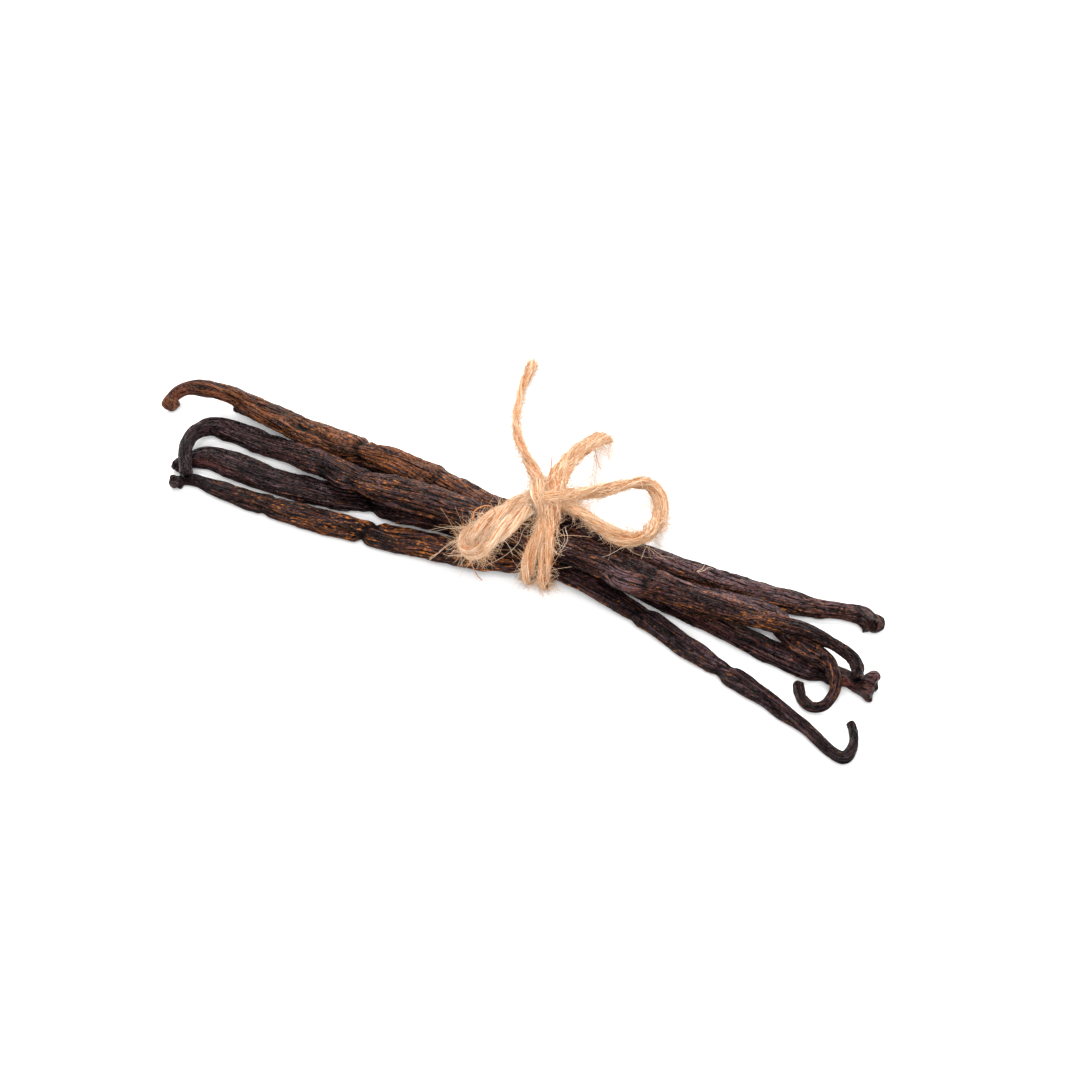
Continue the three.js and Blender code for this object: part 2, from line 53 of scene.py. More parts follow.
PODS = {
    "pod_back": [
        [-95.2, 2.5, 1.9, 3, 2.9], [-95.8, 4, 2.1, 4, 3.7], [-96.2, 6.1, 2.6, 3, 2.6],
        [-94.5, 8.4, 3.5, 3.4, 2.8], [-90, 10, 4.3, 4.3, 3], [-84, 10.4, 4.6, 4.3, 3],
        [-74.5, 9.4, 4.4, 5.9, 3.6], [-66, 8.5, 4.3, 6.2, 3.8], [-59, 7.8, 4.4, 6.9, 3.9],
        [-52, 7.3, 5, 7.3, 4], [-47, 7, 5.5, 5.6, 3.7], [-42, 7, 6.1, 6.3, 3.9],
        [-31, 5.8, 6.9, 6.4, 4], [-21, 4.4, 7.2, 6.1, 4], [-11.5, 2.9, 7.5, 5.8, 4],
        [1, 3.5, 8.7, 5.6, 4.1], [10.5, 4, 8.4, 5.6, 3.9], [18.5, 4.9, 7.1, 5.5, 3.8],
        [28, 6.5, 4.7, 5.6, 3.6], [37, 8, 3.1, 5.9, 3.6], [46.5, 9.2, 2, 5.9, 3.6],
        [56, 10.4, 1.6, 5.5, 3.4], [61, 11.4, 1.4, 4.4, 3.1], [66.5, 13, 1.4, 3.9, 3],
        [71, 13.5, 1.5, 4.4, 3.4], [74.4, 12, 1.6, 4.9, 3.7], [75.3, 10.7, 1.6, 4.6, 3.4],
    ],
    "pod_top": [
        [-80.2, -15.4, 4.6, 2.2, 2], [-81.2, -14.2, 4.6, 2.8, 2.5], [-84.2, -9.4, 4.5, 2.8, 2.5],
        [-85.7, -5.2, 3.9, 3.1, 2.6], [-85.4, -1.2, 3.2, 3.7, 2.9], [-83.6, 1.6, 2.5, 4.9, 3.5],
        [-79.5, 2.7, 1.9, 5.9, 3.7], [-69, 2.4, 2, 5.9, 3.8], [-64.5, 2.1, 2.7, 5.6, 3.6],
        [-54, 0.6, 4.7, 6.7, 4.1], [-48, -1, 5.8, 6.6, 4], [-42, -2, 6.7, 6, 3.8],
        [-34.5, -2.1, 7.8, 7.7, 4.3], [-28, -2, 8.5, 8.1, 4.4], [-21, -2.1, 9, 7.7, 4.4],
        [-12, -2.3, 9.3, 7, 4.3], [2, -2.8, 9.3, 6.3, 4.4], [12, -2.6, 9.2, 6.7, 4.3],
        [17, -2.5, 9, 7.4, 4.4], [21.5, -2.8, 8.6, 9, 4.5], [26, -2.6, 8.2, 8.6, 4.4],
        [30, -2.1, 7.6, 7.1, 4], [37, -1.4, 6.7, 5.9, 3.7], [47.5, -0.6, 6.4, 5.4, 3.4],
        [54, -0.5, 6.6, 4.3, 3.1], [62, 0.3, 6.8, 3.7, 2.9], [70.6, -0.5, 6.4, 2.8, 2.4],
        [74.7, -2, 5.8, 2.6, 2.3], [76.6, -4.4, 5.3, 2.7, 2.4], [76.9, -6.2, 5.2, 2.8, 2.6],
    ],
    "pod_middle": [
        [-85.5, -12.6, 1.3, 2.1, 1.7], [-85.3, -11.2, 1.4, 3, 2.2], [-83.8, -8.8, 1.4, 4.2, 2.7],
        [-80.5, -6.4, 1.6, 6, 3.3], [-71.5, -6, 1.7, 7.3, 3.7], [-64, -6.4, 1.7, 6.8, 3.6],
        [-58, -5.9, 1.7, 6.9, 3.7], [-49, -4.6, 1.7, 6.5, 3.6], [-41.5, -2.6, 1.8, 5.7, 3.4],
        [-38, -2.4, 2, 6.5, 3.5], [-32, -2.4, 2.6, 7, 3.7], [-22, -2.1, 3.5, 6.4, 3.6],
        [-12, -1.9, 4.4, 5.5, 3.6], [1.5, -1.2, 4.7, 4.2, 3.8], [11, -0.9, 4.5, 4.3, 3.5],
        [19, -0.9, 3.7, 4.3, 3], [30, -1.5, 2.4, 4.9, 2.9], [42, -2, 1.6, 5.6, 3.1],
        [54, -3.7, 1.5, 5.8, 3.1], [65.5, -4.7, 1.4, 5.4, 2.9], [70, -4.6, 1.4, 4.3, 2.7],
        [75, -4.2, 1.6, 3.6, 2.5], [77, -4.6, 1.9, 4, 3.2], [79, -4.6, 2.4, 6.4, 4.6],
        [80.6, -4.6, 2.4, 5.6, 4],
    ],
    "pod_front": [
        [-84.5, -16.9, 1.2, 2, 1.6], [-83.8, -16.2, 1.3, 3.2, 2.4], [-82, -13.9, 1, 2.5, 1.9],
        [-79.5, -13.2, 1, 2.9, 2.1], [-72, -13.5, 1.3, 4.7, 2.8], [-62.5, -13.2, 1.4, 5.2, 3],
        [-55, -12.8, 1.5, 5.9, 3.3], [-43, -11.7, 1.5, 6.2, 3.4], [-38.5, -10.9, 1.5, 5.4, 3.2],
        [-34, -10.7, 1.7, 6.7, 3.6], [-22.5, -9.2, 2.5, 7, 3.9], [-13, -8.8, 3.5, 6.3, 3.7],
        [-5, -7.6, 4.5, 5.2, 3.6], [0.5, -5.7, 4.7, 4.1, 3.8], [5.5, -5.3, 4.6, 4.1, 3.6],
        [11, -5.4, 4.4, 4.2, 3.4], [16, -5.6, 3.7, 4.8, 3.2], [20, -6, 3, 5.1, 3.1],
        [25.5, -6.8, 2.3, 4.6, 2.9], [32, -8.1, 1.6, 5.5, 3.1], [40.5, -10.7, 1.5, 5.5, 3.1],
        [48.5, -12.9, 1.4, 4, 2.7], [53.5, -14.1, 1.4, 5, 3], [63.5, -17.1, 1.3, 4, 2.7],
        [72.5, -20.3, 1.1, 2.9, 2.4], [77.9, -22.9, 1.1, 2.8, 2.3], [80.9, -23.3, 1.1, 3.1, 2.5],
        [81.7, -20.5, 1.1, 2.3, 2.1], [81.3, -18, 1.1, 1.8, 1.8], [79.8, -15.3, 1.1, 1.8, 1.8],
        [79, -14.2, 1.1, 1.7, 1.7],
    ],
    "pod_curled": [
        [-82.6, 9.6, 1, 1.8, 1.6], [-80.6, 10.4, 1.1, 2.6, 2], [-73.5, 10.6, 1, 3.2, 2.1],
        [-66.5, 9.1, 1, 3.7, 2.2], [-58, 7, 1.2, 4.2, 2.4], [-50, 5.9, 1.6, 4.6, 2.8],
        [-43, 5.5, 2.3, 4.9, 3], [-31, 5.2, 3.4, 4.8, 3.1], [-23, 4.9, 3.8, 4.7, 3.2],
        [-12, 4.5, 4.4, 4.7, 3.5], [0, 3.8, 4.8, 4.6, 3.9], [9, 3.7, 4.4, 4.5, 3.4],
        [16, 3.4, 3.8, 4.3, 3.1], [23, 3.3, 3.2, 4.3, 3], [31, 3.2, 2.8, 4.4, 2.9],
        [40, 3.4, 2.9, 4.6, 2.9], [46.5, 4.1, 3, 5, 3], [50.5, 4.5, 3, 5.1, 3],
        [54.5, 4.1, 3, 4.9, 2.9], [57.6, 1.2, 3.3, 4.7, 2.8], [61.2, -1.4, 4, 4.7, 2.8],
        [64.6, -2.8, 4.6, 4.5, 2.7], [68.9, -4.1, 5, 3.9, 2.5], [71.7, -6.2, 4.8, 3.1, 2.3],
        [73.3, -9.6, 3.5, 2.5, 2.3], [72.6, -12.8, 2.2, 2.4, 2.2], [70, -14, 1.4, 2.4, 2.2],
        [67.3, -12.5, 1, 2.4, 2.2], [65.7, -10.2, 1, 2.4, 2.2], [65.3, -9, 1, 2.2, 2],
    ],
}

# How each pod is finished. Places are in mm from the left tip, turns in degrees from the pod's right-hand
# side over its top. "depth" is the furrows' in mm, "twist" how far they wind in radians a mm, "knobs" how
# lumpy the left and right tips are in mm, and "lay" how short and how long a wrinkle is. A pinch is [place,
# depth, length, tilt], a swelling [place, turn, length, spread, height], a patch [mark, place, turn,
# length, spread, amount], and pale and flecks are stops by place.
# A "sheen" patch lays painted sheen, painted highlights and painted glints on the skin; a negative one
# takes them away.
POD_CHARACTER = {
    "pod_back": {
        "seed": 11, "ends": ("round", "round"), "depth": 0.36, "twist": 0.006, "knobs": (0.10, 0.30),
        "lay": (14, 70),
        "pinches": [[55.2, 0.5, 0.8, 1.6], [76.5, 0.25, 0.8, 1.8], [11.5, 0.12, 0.7, 0.4]],
        "swellings": [[44.5, 130, 1.8, 40, 0.35], [50.5, 100, 3.0, 70, 0.30], [74.0, 80, 1.6, 40, 0.30],
                      [73.0, 150, 2.4, 40, 0.30]],
        "patches": [["red", 6, 60, 6, 200, 0.8], ["calm", 3, 60, 7, 200, 1.0],
                    ["sheen", 140, 100, 40, 60, 0.7], ["flecks", 148, 28, 16, 28, 0.7],
                    ["calm", 62, 80, 5, 60, 0.5]],
        "pale": [[0, 1.0], [30, 0.9], [70, 0.85], [84, 0.6], [98, 0.22], [150, 0.22], [180, 0.10]],
        "flecks": [[0, 0.05], [20, 0.35], [45, 0.65], [80, 0.65], [100, 0.3], [180, 0.4]],
    },
    "pod_top": {
        "seed": 23, "ends": ("cut", "cut"), "depth": 0.36, "twist": -0.005, "knobs": (0.10, 0.25),
        "lay": (35, 200),
        "pinches": [[61.5, 0.30, 1.0, 1.5], [132.0, 0.30, 0.9, 0.9], [33.0, 0.12, 0.8, 0.6]],
        "swellings": [[127.0, 20, 4.0, 40, 0.35], [65.0, 60, 2.2, 40, 0.3], [57.0, 20, 3.0, 40, 0.3],
                      [148.0, 128, 16.0, 11, 0.45]],
        "patches": [["sheen", 126, 45, 4.5, 35, 1.0], ["calm", 126, 45, 5, 40, 0.7],
                    ["red", 132, 45, 3, 50, 0.9], ["flecks", 64, 60, 6, 80, 0.25],
                    ["flecks", 159, 45, 5, 80, 0.6], ["sheen", 148, 135, 15, 22, 1.0],
                    ["flecks", 148, 150, 14, 30, 0.9], ["pale", 148, 132, 15, 16, 0.5],
                    ["calm", 148, 135, 14, 22, 0.6], ["calm", 146, 62, 15, 38, 0.55],
                    ["flecks", 150, 5, 20, 20, 0.8]],
        "pale": [[0, 0.0], [50, 0.05], [75, 0.15], [110, 0.10], [180, 0.05]],
        "flecks": [[0, 0.0], [28, 0.05], [38, 0.35], [60, 0.45], [80, 0.6], [125, 0.4], [160, 0.45],
                   [184, 0.35]],
    },
    "pod_middle": {
        "seed": 37, "ends": ("round", "crown"), "depth": 0.34, "twist": 0.004, "knobs": (0.30, 0.25),
        "lay": (45, 240),
        "pinches": [[49.2, 0.6, 1.1, 1.4], [158.5, 0.3, 0.9, 0.5]],
        "swellings": [[164.4, 48, 1.1, 34, 0.9], [164.4, 48, 0.45, 15, -1.3],
                      [162.2, 125, 2.2, 40, 0.9]],
        "patches": [["red", 8, 38, 8, 26, 1.0], ["calm", 8, 38, 8, 26, 0.8], ["red", 134, 30, 9, 40, 0.5],
                    ["red", 164.4, 48, 1.6, 45, 2.0], ["red", 169, 60, 3, 200, 0.8],
                    ["calm", 164, 60, 2.5, 80, 1.0], ["calm", 170, 60, 3.5, 200, 0.9],
                    ["pale", 127, 108, 10, 32, 0.55], ["flecks", 131, 105, 9, 35, 0.4]],
        "pale": [[0, 0.0], [90, 0.02], [130, 0.0], [170, 0.0]],
        "flecks": [[0, 0.0], [20, 0.15], [50, 0.25], [70, 0.35], [130, 0.3], [170, 0.2]],
    },
    "pod_front": {
        "seed": 41, "ends": ("round", "cut"), "depth": 0.26, "twist": -0.003, "knobs": (0.42, 0.08),
        "lay": (18, 90),
        "pinches": [[49.3, 0.65, 0.8, 1.0], [25.4, 0.28, 0.7, 0.8], [114.5, 0.25, 0.9, 1.2],
                    [137.7, 0.35, 1.0, 0.8]],
        "swellings": [[46.5, 90, 1.6, 60, 0.3], [140.5, 90, 1.8, 60, 0.3]],
        "patches": [["red", 49, 60, 2, 60, 0.6], ["sheen", 40, 60, 34, 150, -0.4],
                    ["flecks", 122, -5, 30, 22, 0.9]],
        "pale": [[0, 0.0], [12, 0.03], [70, 0.08], [92, 0.05], [110, 0.0], [180, 0.0]],
        "flecks": [[0, 0.0], [12, 0.5], [30, 0.8], [85, 0.8], [100, 0.25], [180, 0.2]],
    },
    "pod_curled": {
        "seed": 59, "ends": ("round", "cut"), "depth": 0.28, "twist": 0.010, "knobs": (0.10, 0.12),
        "lay": (45, 240),
        "pinches": [[173.0, 0.1, 0.8, 0.3]],
        "swellings": [[152.3, 138, 3.4, 38, 0.6]],
        "patches": [["flecks", 160, 90, 9, 90, 0.2], ["sheen", 120, 100, 25, 60, 0.6]],
        "pale": [[0, 0.05], [150, 0.02], [176, 0.0]],
        "flecks": [[0, 0.1], [120, 0.5], [150, 0.55], [176, 0.3]],
    },
}
POD_SLOTS = {
    "pod_back": "pod_brown", "pod_front": "pod_brown",
    "pod_top": "pod_dark", "pod_middle": "pod_dark", "pod_curled": "pod_dark",
}

# Kinds of loose hair, as `hairs` takes them: how many, the shortest and longest, their radius, how far they
# stand out, and from and to which share of the twine's length.
FUZZ = [(900, 0.8, 3.0, 0.040, 0.45, 0, 1), (70, 2.0, 5.0, 0.064, 0.8, 0, 1)]
WRAP_FUZZ = [(1500, 0.6, 2.8, 0.042, 0.7, 0, 1), (90, 1.6, 4.5, 0.060, 0.7, 0, 1)]
KNOT_FUZZ = [(480, 0.7, 2.4, 0.042, 0.6, 0, 1), (12, 2.0, 5.0, 0.060, 0.8, 0, 1)]

# A twist is the number of plies, mm a turn, how far off the middle the plies lie and how far their strands
# spread, both as shares of half the width. "shade" is the darkest strand's, from 0, dark, to 1, and "fuzz"
# is given where the hairs aren't the usual ones. A row is x, y, z, then width and thickness.
WRAP_TWIST, WRAP_STRANDS = (2, 30.0, 0.40, 0.60), 190
KNOT_TWIST, KNOT_STRANDS = (1, 60.0, 0.0, 0.92), 130
FREE_TWINE = {
    "twine_tail_left": {
        "twist": (2, 28, 0.44, 0.54), "strands": 130, "seed": 5, "far_end": "bare",
        "route": [
            [-3.4, 7.4, 15.4, 3.2, 2.6], [-6.4, 11, 14.2, 3, 2.4], [-10.7, 15.8, 11.9, 2.4, 2.2],
            [-15, 21.5, 9.2, 2.1, 2], [-18.3, 26.7, 6.8, 1.9, 1.8], [-21, 32.2, 4.6, 1.8, 1.8],
            [-23.2, 38.1, 2.7, 1.7, 1.7], [-24.8, 43.4, 1.6, 1.8, 1.7], [-25.6, 47.5, 1.2, 2.2, 1.8],
            [-25.9, 52, 1.3, 3.2, 2.2],
        ],
    },
    "twine_tail_right": {
        "twist": (1, 70, 0, 0.92), "strands": 200, "seed": 6, "far_end": "bare",
        "route": [
            [0, 6.6, 15.8, 4.4, 2.4], [-0.4, 9.2, 15.6, 4.9, 2.2], [-0.9, 13.4, 14.8, 4.5, 2],
            [-1.4, 18.1, 13, 4.3, 1.9], [-1.6, 23.5, 10.4, 4.2, 1.9], [-1.5, 28.8, 7.4, 4.1, 1.8],
            [-1.3, 33.5, 4.5, 4.2, 1.8], [-0.9, 37, 2.4, 4, 1.7],
        ],
    },
    "twine_loop_right": {
        "twist": (2, 40, 0.34, 0.64), "strands": 210, "seed": 7, "far_end": "object", "shade": 0.20,
        "fuzz": [(1500, 0.8, 3.2, 0.042, 0.5, 0, 1), (130, 2, 6, 0.066, 0.9, 0, 1)],
        "route": [
            [2.8, 7, 15.2, 2.8, 2.6], [5.9, 10.6, 13.4, 3.2, 2.7], [8.5, 15.7, 10.6, 3.1, 2.7],
            [10.3, 20.6, 7.8, 2.9, 2.6], [12.1, 25, 5, 3.3, 2.7], [14, 27.4, 2.9, 3.6, 2.8],
            [16.2, 27.2, 1.8, 3.6, 2.8], [18.3, 24.9, 1.6, 3.5, 2.8], [19.6, 21.7, 1.8, 3.5, 2.8],
            [20.6, 17.3, 3.4, 3.6, 2.8], [21.3, 12.1, 6.8, 3.7, 2.9], [21.2, 7.5, 9.7, 3.7, 3],
            [19.9, 4.7, 11.3, 3.7, 3], [17.6, 3.5, 12, 3.7, 3], [14.7, 3.5, 12.5, 3.6, 2.9],
            [11, 4.2, 13.2, 3.4, 2.8], [7.4, 4.8, 14, 3.1, 2.6], [4.4, 5.1, 14.6, 2.8, 2.4],
        ],
    },
    "twine_loop_left": {
        "twist": (3, 22, 0.50, 0.46), "strands": 240, "seed": 8, "far_end": "object", "shade": 0.68,
        "fuzz": [(1000, 0.8, 3, 0.036, 0.6, 0, 1), (130, 2, 4.5, 0.056, 0.9, 0, 1),
                 (700, 1, 3.6, 0.040, 1.1, 0.36, 0.66)],
        "route": [
            [-3.5, 3.8, 15.4, 2.8, 2.2], [-5.6, 1.3, 14.8, 3.4, 2.4], [-7.4, -1.8, 14, 4.2, 2.6],
            [-9.5, -4.7, 12.8, 4.8, 2.8], [-11.5, -7.2, 11, 5, 3], [-13, -9.2, 9.5, 4.8, 3.2],
            [-12.7, -10.6, 8.4, 4.4, 3.4], [-11.2, -10.7, 8.3, 4.6, 3.2], [-9.1, -9, 9.6, 5, 3],
            [-6.9, -6.3, 11.9, 4.8, 2.8], [-4.6, -3, 13.7, 4, 2.5], [-2.9, 0.9, 14.9, 3, 2.2],
        ],
    },
}

# Both turns pass round the bundle, from the front of its top, under it and up behind, at these y and z,
# with this depth towards the bundle and width along it.
ROUND_BUNDLE = [[-8, 9.9, 2.3, 3], [-9.6, 5.1, 2.3, 2.8], [-8.1, 2, 2.2, 2.8], [-5.2, 1.25, 2.2, 2.8],
                [0, 1.25, 2.2, 2.8], [5.4, 1.3, 2.2, 2.8], [8.4, 3.9, 2.3, 2.8], [8.6, 8.4, 2.3, 2.8]]


def turn_of_twine(first, across, last):
    """Rows of a turn: those over the top, those round the bundle at the given x, and the last two."""
    return first + [[x, *row] for x, row in zip(across, ROUND_BUNDLE)] + last


# The two turns. The right one starts as the flat strand that crosses the knot.
WRAPS = [
    turn_of_twine([[-0.6, 3.2, 14.6, 2.3, 3], [0.8, -0.6, 13.5, 2.3, 3.2], [1.6, -4.4, 13.15, 2.3, 3.1]],
                  [1.4, 1.5, 1.2, 1.2, 1.2, 1.2, 1.2, 1],
                  [[0.4, 7.1, 12, 2.3, 2.8], [-0.4, 4.4, 14.8, 2.3, 3]]),
    turn_of_twine([[-0.8, 10.6, 15, 1.9, 4.2], [0.3, 7.3, 16.7, 1.8, 4.2], [1.1, 4.6, 17, 1.8, 4.2],
                   [2, 2.2, 16.1, 1.9, 4.3], [3, -0.8, 14, 2.2, 4], [4.1, -4.4, 13.15, 2.3, 3.3]],
                  [5, 5.3, 4.9, 4.8, 4.8, 4.8, 4.6, 4.2],
                  [[3.4, 7.1, 12, 2.3, 3], [2.4, 4.4, 14.8, 2.3, 3.4]]),
]

# The knot: what passes over what, from the heart outwards.
KNOT = {
    "knot_heart": [[-3.6, 4.2, 15, 4.6, 3], [-1.4, 4.6, 15.4, 5.6, 3.6], [1.2, 5, 15.4, 5.6, 3.6],
                   [3.6, 5.6, 15, 4.6, 3]],
    "knot_low": [[-0.1, 3.2, 16.2, 2.4, 2], [2, 3.9, 16.2, 2.6, 2.2], [4.5, 4.8, 15, 2.8, 2.2],
                 [6.6, 4.9, 14.1, 3, 2.4]],
    "knot_loops": [[-4.2, 2.8, 14.9, 2.6, 2.2], [-2.2, 2.6, 16.3, 2.8, 2], [0.2, 3.4, 17.1, 3.4, 1.9],
                   [2.7, 5.3, 16.7, 3.8, 2], [4.8, 8.5, 14.9, 3.4, 2.4]],
    "knot_strap": [[-4.4, 10.4, 13.6, 2.2, 1.8], [-4, 8, 15.6, 2.5, 1.7], [-2.9, 4.9, 17.5, 3.3, 1.6],
                   [-1.7, 2.3, 17.7, 3.2, 1.6], [-0.5, 1.1, 16.3, 2.4, 1.5], [0.3, 0.3, 14.2, 1.6, 1.2]],
}

# Fibres that have worked loose: how many lie together, thickness, shade, and the places they pass.
STRAYS = [
    (1, 0.38, 0.00, [[-13.4, -5.6, 12.2], [-13.8, -4.4, 13.4], [-12.6, -3.2, 14.4], [-10.8, -2.6, 14.9],
                     [-9.2, -3.4, 14.5], [-8.6, -4.6, 13.6]]),
    (1, 0.34, 0.00, [[-12.2, -10.4, 6], [-11.8, -11, 5.2], [-10.6, -12, 4.4], [-9.7, -12, 2.2],
                     [-8.5, -12, 0.9]]),
    (2, 0.09, 0.95, [[-23.8, -6.6, 4.1], [-20.6, -6, 6.3], [-17.1, -6, 8.8], [-13.6, -5.5, 10.6]]),
    (2, 0.10, 0.80, [[-20.7, -13, 3], [-19.3, -11.8, 4.4], [-18, -9.9, 5.4], [-15.9, -8.9, 7],
                     [-13.4, -8.8, 9]]),
    (1, 0.10, 0.95, [[-1.8, -2.2, 12.4], [-2.4, -3.6, 11.9], [-2.3, -5.9, 10.6], [-4.5, -8.2, 7.4],
                     [-7.1, -10.2, 5.6], [-8.6, -11.2, 4.8]]),
    (3, 0.07, 0.90, [[3.5, -8.8, 8.8], [5.2, -7.4, 7.4], [6.6, -6.6, 6.9], [7.8, -7, 5.7]]),
    (3, 0.07, 0.95, [[6.2, -0.6, 13.4], [7.4, -2.2, 12.4], [7.2, -4.6, 11.8], [6.4, -6.2, 11.2]]),
    (1, 0.44, 0.00, [[-0.6, 6.5, 17.2], [-1.2, 7.8, 18.1], [-1.7, 9.2, 19.2], [-2.4, 11.2, 20.7],
                     [-3, 12.5, 21.5]]),
    (1, 0.12, 0.85, [[34.6, 6.8, 5.4], [35.3, 7.5, 5.6], [35.6, 8.6, 6], [35.5, 9.6, 6.4]]),
    (1, 0.10, 0.85, [[34.9, 6.6, 5.5], [36, 7.6, 5.6], [36.6, 8.8, 5.6], [37.6, 9, 5.3]]),
    (2, 0.08, 0.80, [[20.4, 6.4, 8.6], [23.4, 6.7, 8], [26.1, 6.1, 7.3], [28.7, 6.6, 6.6]]),
    (2, 0.08, 0.80, [[17.6, 3.6, 10.9], [19.8, 2.9, 10], [22.6, 3.2, 8.8], [24.6, 4.6, 7.9]]),
    (7, 0.10, 0.55, [[-0.3, 36.6, 2.8], [0.6, 35.8, 2.4], [1.7, 34.4, 1.5], [2.3, 32, 0.5]]),
    (7, 0.10, 0.55, [[-1.4, 31.4, 5.4], [-0.8, 30.7, 3.8], [0, 29.8, 2.2], [1, 28.4, 0.8]]),
    (4, 0.09, 0.10, [[-1.6, 20.4, 13.2], [-0.6, 22.4, 11.8], [0.2, 25.4, 9.8], [0.6, 28.4, 7.6]]),
    (2, 0.07, 0.90, [[-1, 37.4, 2.8], [-1.4, 40, 2.6], [-0.6, 41.4, 1.6], [1, 42, 0.5]]),
]

# ---- Lines and noise ----

STEPS_A_ROW = 60  # for measuring a line, between one row of its table and the next
AIM = 0.15  # how far before and after a place a line's direction is taken, in mm


def through(points, at):
    """Centripetal Catmull-Rom line through points, at row numbers `at`: between two points, the cubic
    whose end slopes weigh each chord by the square root of its length."""
    points = np.asarray(points, float)
    padded = np.vstack([2 * points[0] - points[1], points, 2 * points[-1] - points[-2]])
    row = np.clip(at.astype(int), 0, len(points) - 2)
    share = (at - row)[:, None]
    a, b, c, d = (padded[row + step] for step in range(4))
    ab, bc, cd = (np.sqrt(np.linalg.norm(q - p, axis=1))[:, None] for p, q in ((a, b), (b, c), (c, d)))
    out = ((b - a) / ab - (c - a) / (ab + bc) + (c - b) / bc) * bc
    into = ((c - b) / bc - (d - b) / (bc + cd) + (d - c) / cd) * bc
    return (b + out * share + (3 * (c - b) - 2 * out - into) * share**2
            + (2 * (b - c) + out + into) * share**3)


def measured(points):
    """The line's length, and the row number at a distance along it."""
    at = np.linspace(0, len(points) - 1, STEPS_A_ROW * len(points))
    run = np.append(0, np.cumsum(np.linalg.norm(np.diff(through(points, at), axis=0), axis=1)))
    return run[-1], lambda distance: np.interp(distance, run, at)


def unit(vectors):
    """Vectors divided by their own lengths."""
    return vectors / np.maximum(np.linalg.norm(vectors, axis=-1, keepdims=True), 1e-9)


def carried(points, distances, upright):
    """Middle line at the distances, with its direction, its side (direction x upright) and its rise
    (side x direction)."""
    length, row_at = measured(points)
    middle = through(points, row_at(np.clip(distances, 0, length)))
    ahead = through(points, row_at(np.clip(distances + AIM, 0, length)))
    behind = through(points, row_at(np.clip(distances - AIM, 0, length)))
    along = unit(ahead - behind)
    side = unit(np.cross(along, upright))
    return middle, along, side, np.cross(side, along)


def waves(place, turn, seed, folds, lengths, count=24):
    """Smooth noise on a pod or a strand: the sum of `count` cosines, each with a whole number of folds
    around and a wavelength in mm along, drawn from the two ranges, with any phase. Its spread is 1."""
    draw = np.random.default_rng(seed)
    total = np.zeros(np.broadcast(place, turn).shape)
    for _ in range(count):
        around = draw.integers(folds[0], folds[1] + 1)
        along = 2 * np.pi / np.exp(draw.uniform(*np.log(lengths)))
        total += np.cos(around * turn + draw.choice([-1, 1]) * along * place + draw.uniform(0, 2 * np.pi))
    return total * math.sqrt(2 / count)


def eased(low, high, value):
    """0 below low, 1 above high, and a smooth step between."""
    share = np.clip((value - low) / (high - low), 0, 1)
    return share * share * (3 - 2 * share)


# ---- Meshes ----


def place_mesh(name, shape, finish):
    """A smooth mesh piece from points in mm, a list of face arrays and the marks kept on its points."""
    points, faces, marks = shape
    mesh = bpy.data.meshes.new(name)
    mesh.vertices.add(len(points))
    mesh.vertices.foreach_set("co", ((points + FROM_TIE) * MM).astype(np.float32).ravel())
    corners = np.concatenate([face.ravel() for face in faces])
    sizes = np.concatenate([np.full(len(face), face.shape[1]) for face in faces])
    mesh.loops.add(len(corners))
    mesh.loops.foreach_set("vertex_index", corners.astype(np.int32))
    mesh.polygons.add(len(sizes))
    mesh.polygons.foreach_set("loop_start", np.append(0, np.cumsum(sizes)[:-1]).astype(np.int32))
    mesh.polygons.foreach_set("use_smooth", np.ones(len(sizes), bool))
    mesh.update(calc_edges=True)
    mesh.validate()
    for mark, values in marks.items():
        kind, field = ("FLOAT", "value") if values.ndim == 1 else ("FLOAT_VECTOR", "vector")
        layer = mesh.attributes.new(mark, kind, "POINT")
        layer.data.foreach_set(field, values.astype(np.float32).ravel())
    mesh.materials.append(finish)
    piece = bpy.data.objects.new(name, mesh)
    bpy.context.scene.collection.objects.link(piece)
    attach(piece, "root")
    return piece


def skin_faces(rings, around, reverse=False):
    """Quads between neighbouring rings of points, and a fan at each end to a last point there: the
    start's is numbered rings x around, and the far one's is one more."""
    ring, step = np.meshgrid(np.arange(rings - 1), np.arange(around), indexing="ij")
    after = (step + 1) % around
    quads = np.stack([ring * around + step, ring * around + after,
                      (ring + 1) * around + after, (ring + 1) * around + step], -1).reshape(-1, 4)
    step = np.arange(around)
    after = (step + 1) % around
    near = np.full(around, rings * around)
    fans = np.concatenate([np.stack([near, after, step], 1),
                           np.stack([near + 1, step + (rings - 1) * around,
                                     after + (rings - 1) * around], 1)])
    return [quads[:, ::-1], fans[:, ::-1]] if reverse else [quads, fans]


# ---- Pods ----

RINGS, AROUND = 690, 126  # points along a pod and around it
CROWN_LONG, FIRST_POINT = 4.0, 0.87  # a crown's length in mm, and the turn of its first point in radians
POD_GAP, WRAP_GAP = 0.12, 0.05  # air that a pod keeps from another pod and from the twine, in mm


def tip_rings(kind, radius):
    """How full each ring at a tip is and how far back it lies: a quarter round for a round tip, and
    for a cut one a flat face, sunk in the middle, inside a small rounded rim. A crown is sunk less."""
    if kind == "round":
        turn = np.linspace(0, np.pi / 2, 15)
        return np.sin(turn), radius * (1 - np.cos(turn))
    turn = np.linspace(0, np.pi / 2, 8)
    flat = 0.74  # the share of the radius that the face takes
    face = np.linspace(0, flat, 7)
    sunk = (0.15 if kind == "crown" else 0.55) * radius * (1 - (face / flat) ** 2)
    return (np.append(face, 0.78 + 0.22 * np.sin(turn)),
            np.append(sunk, 0.3 * radius * (1 - np.cos(turn))))


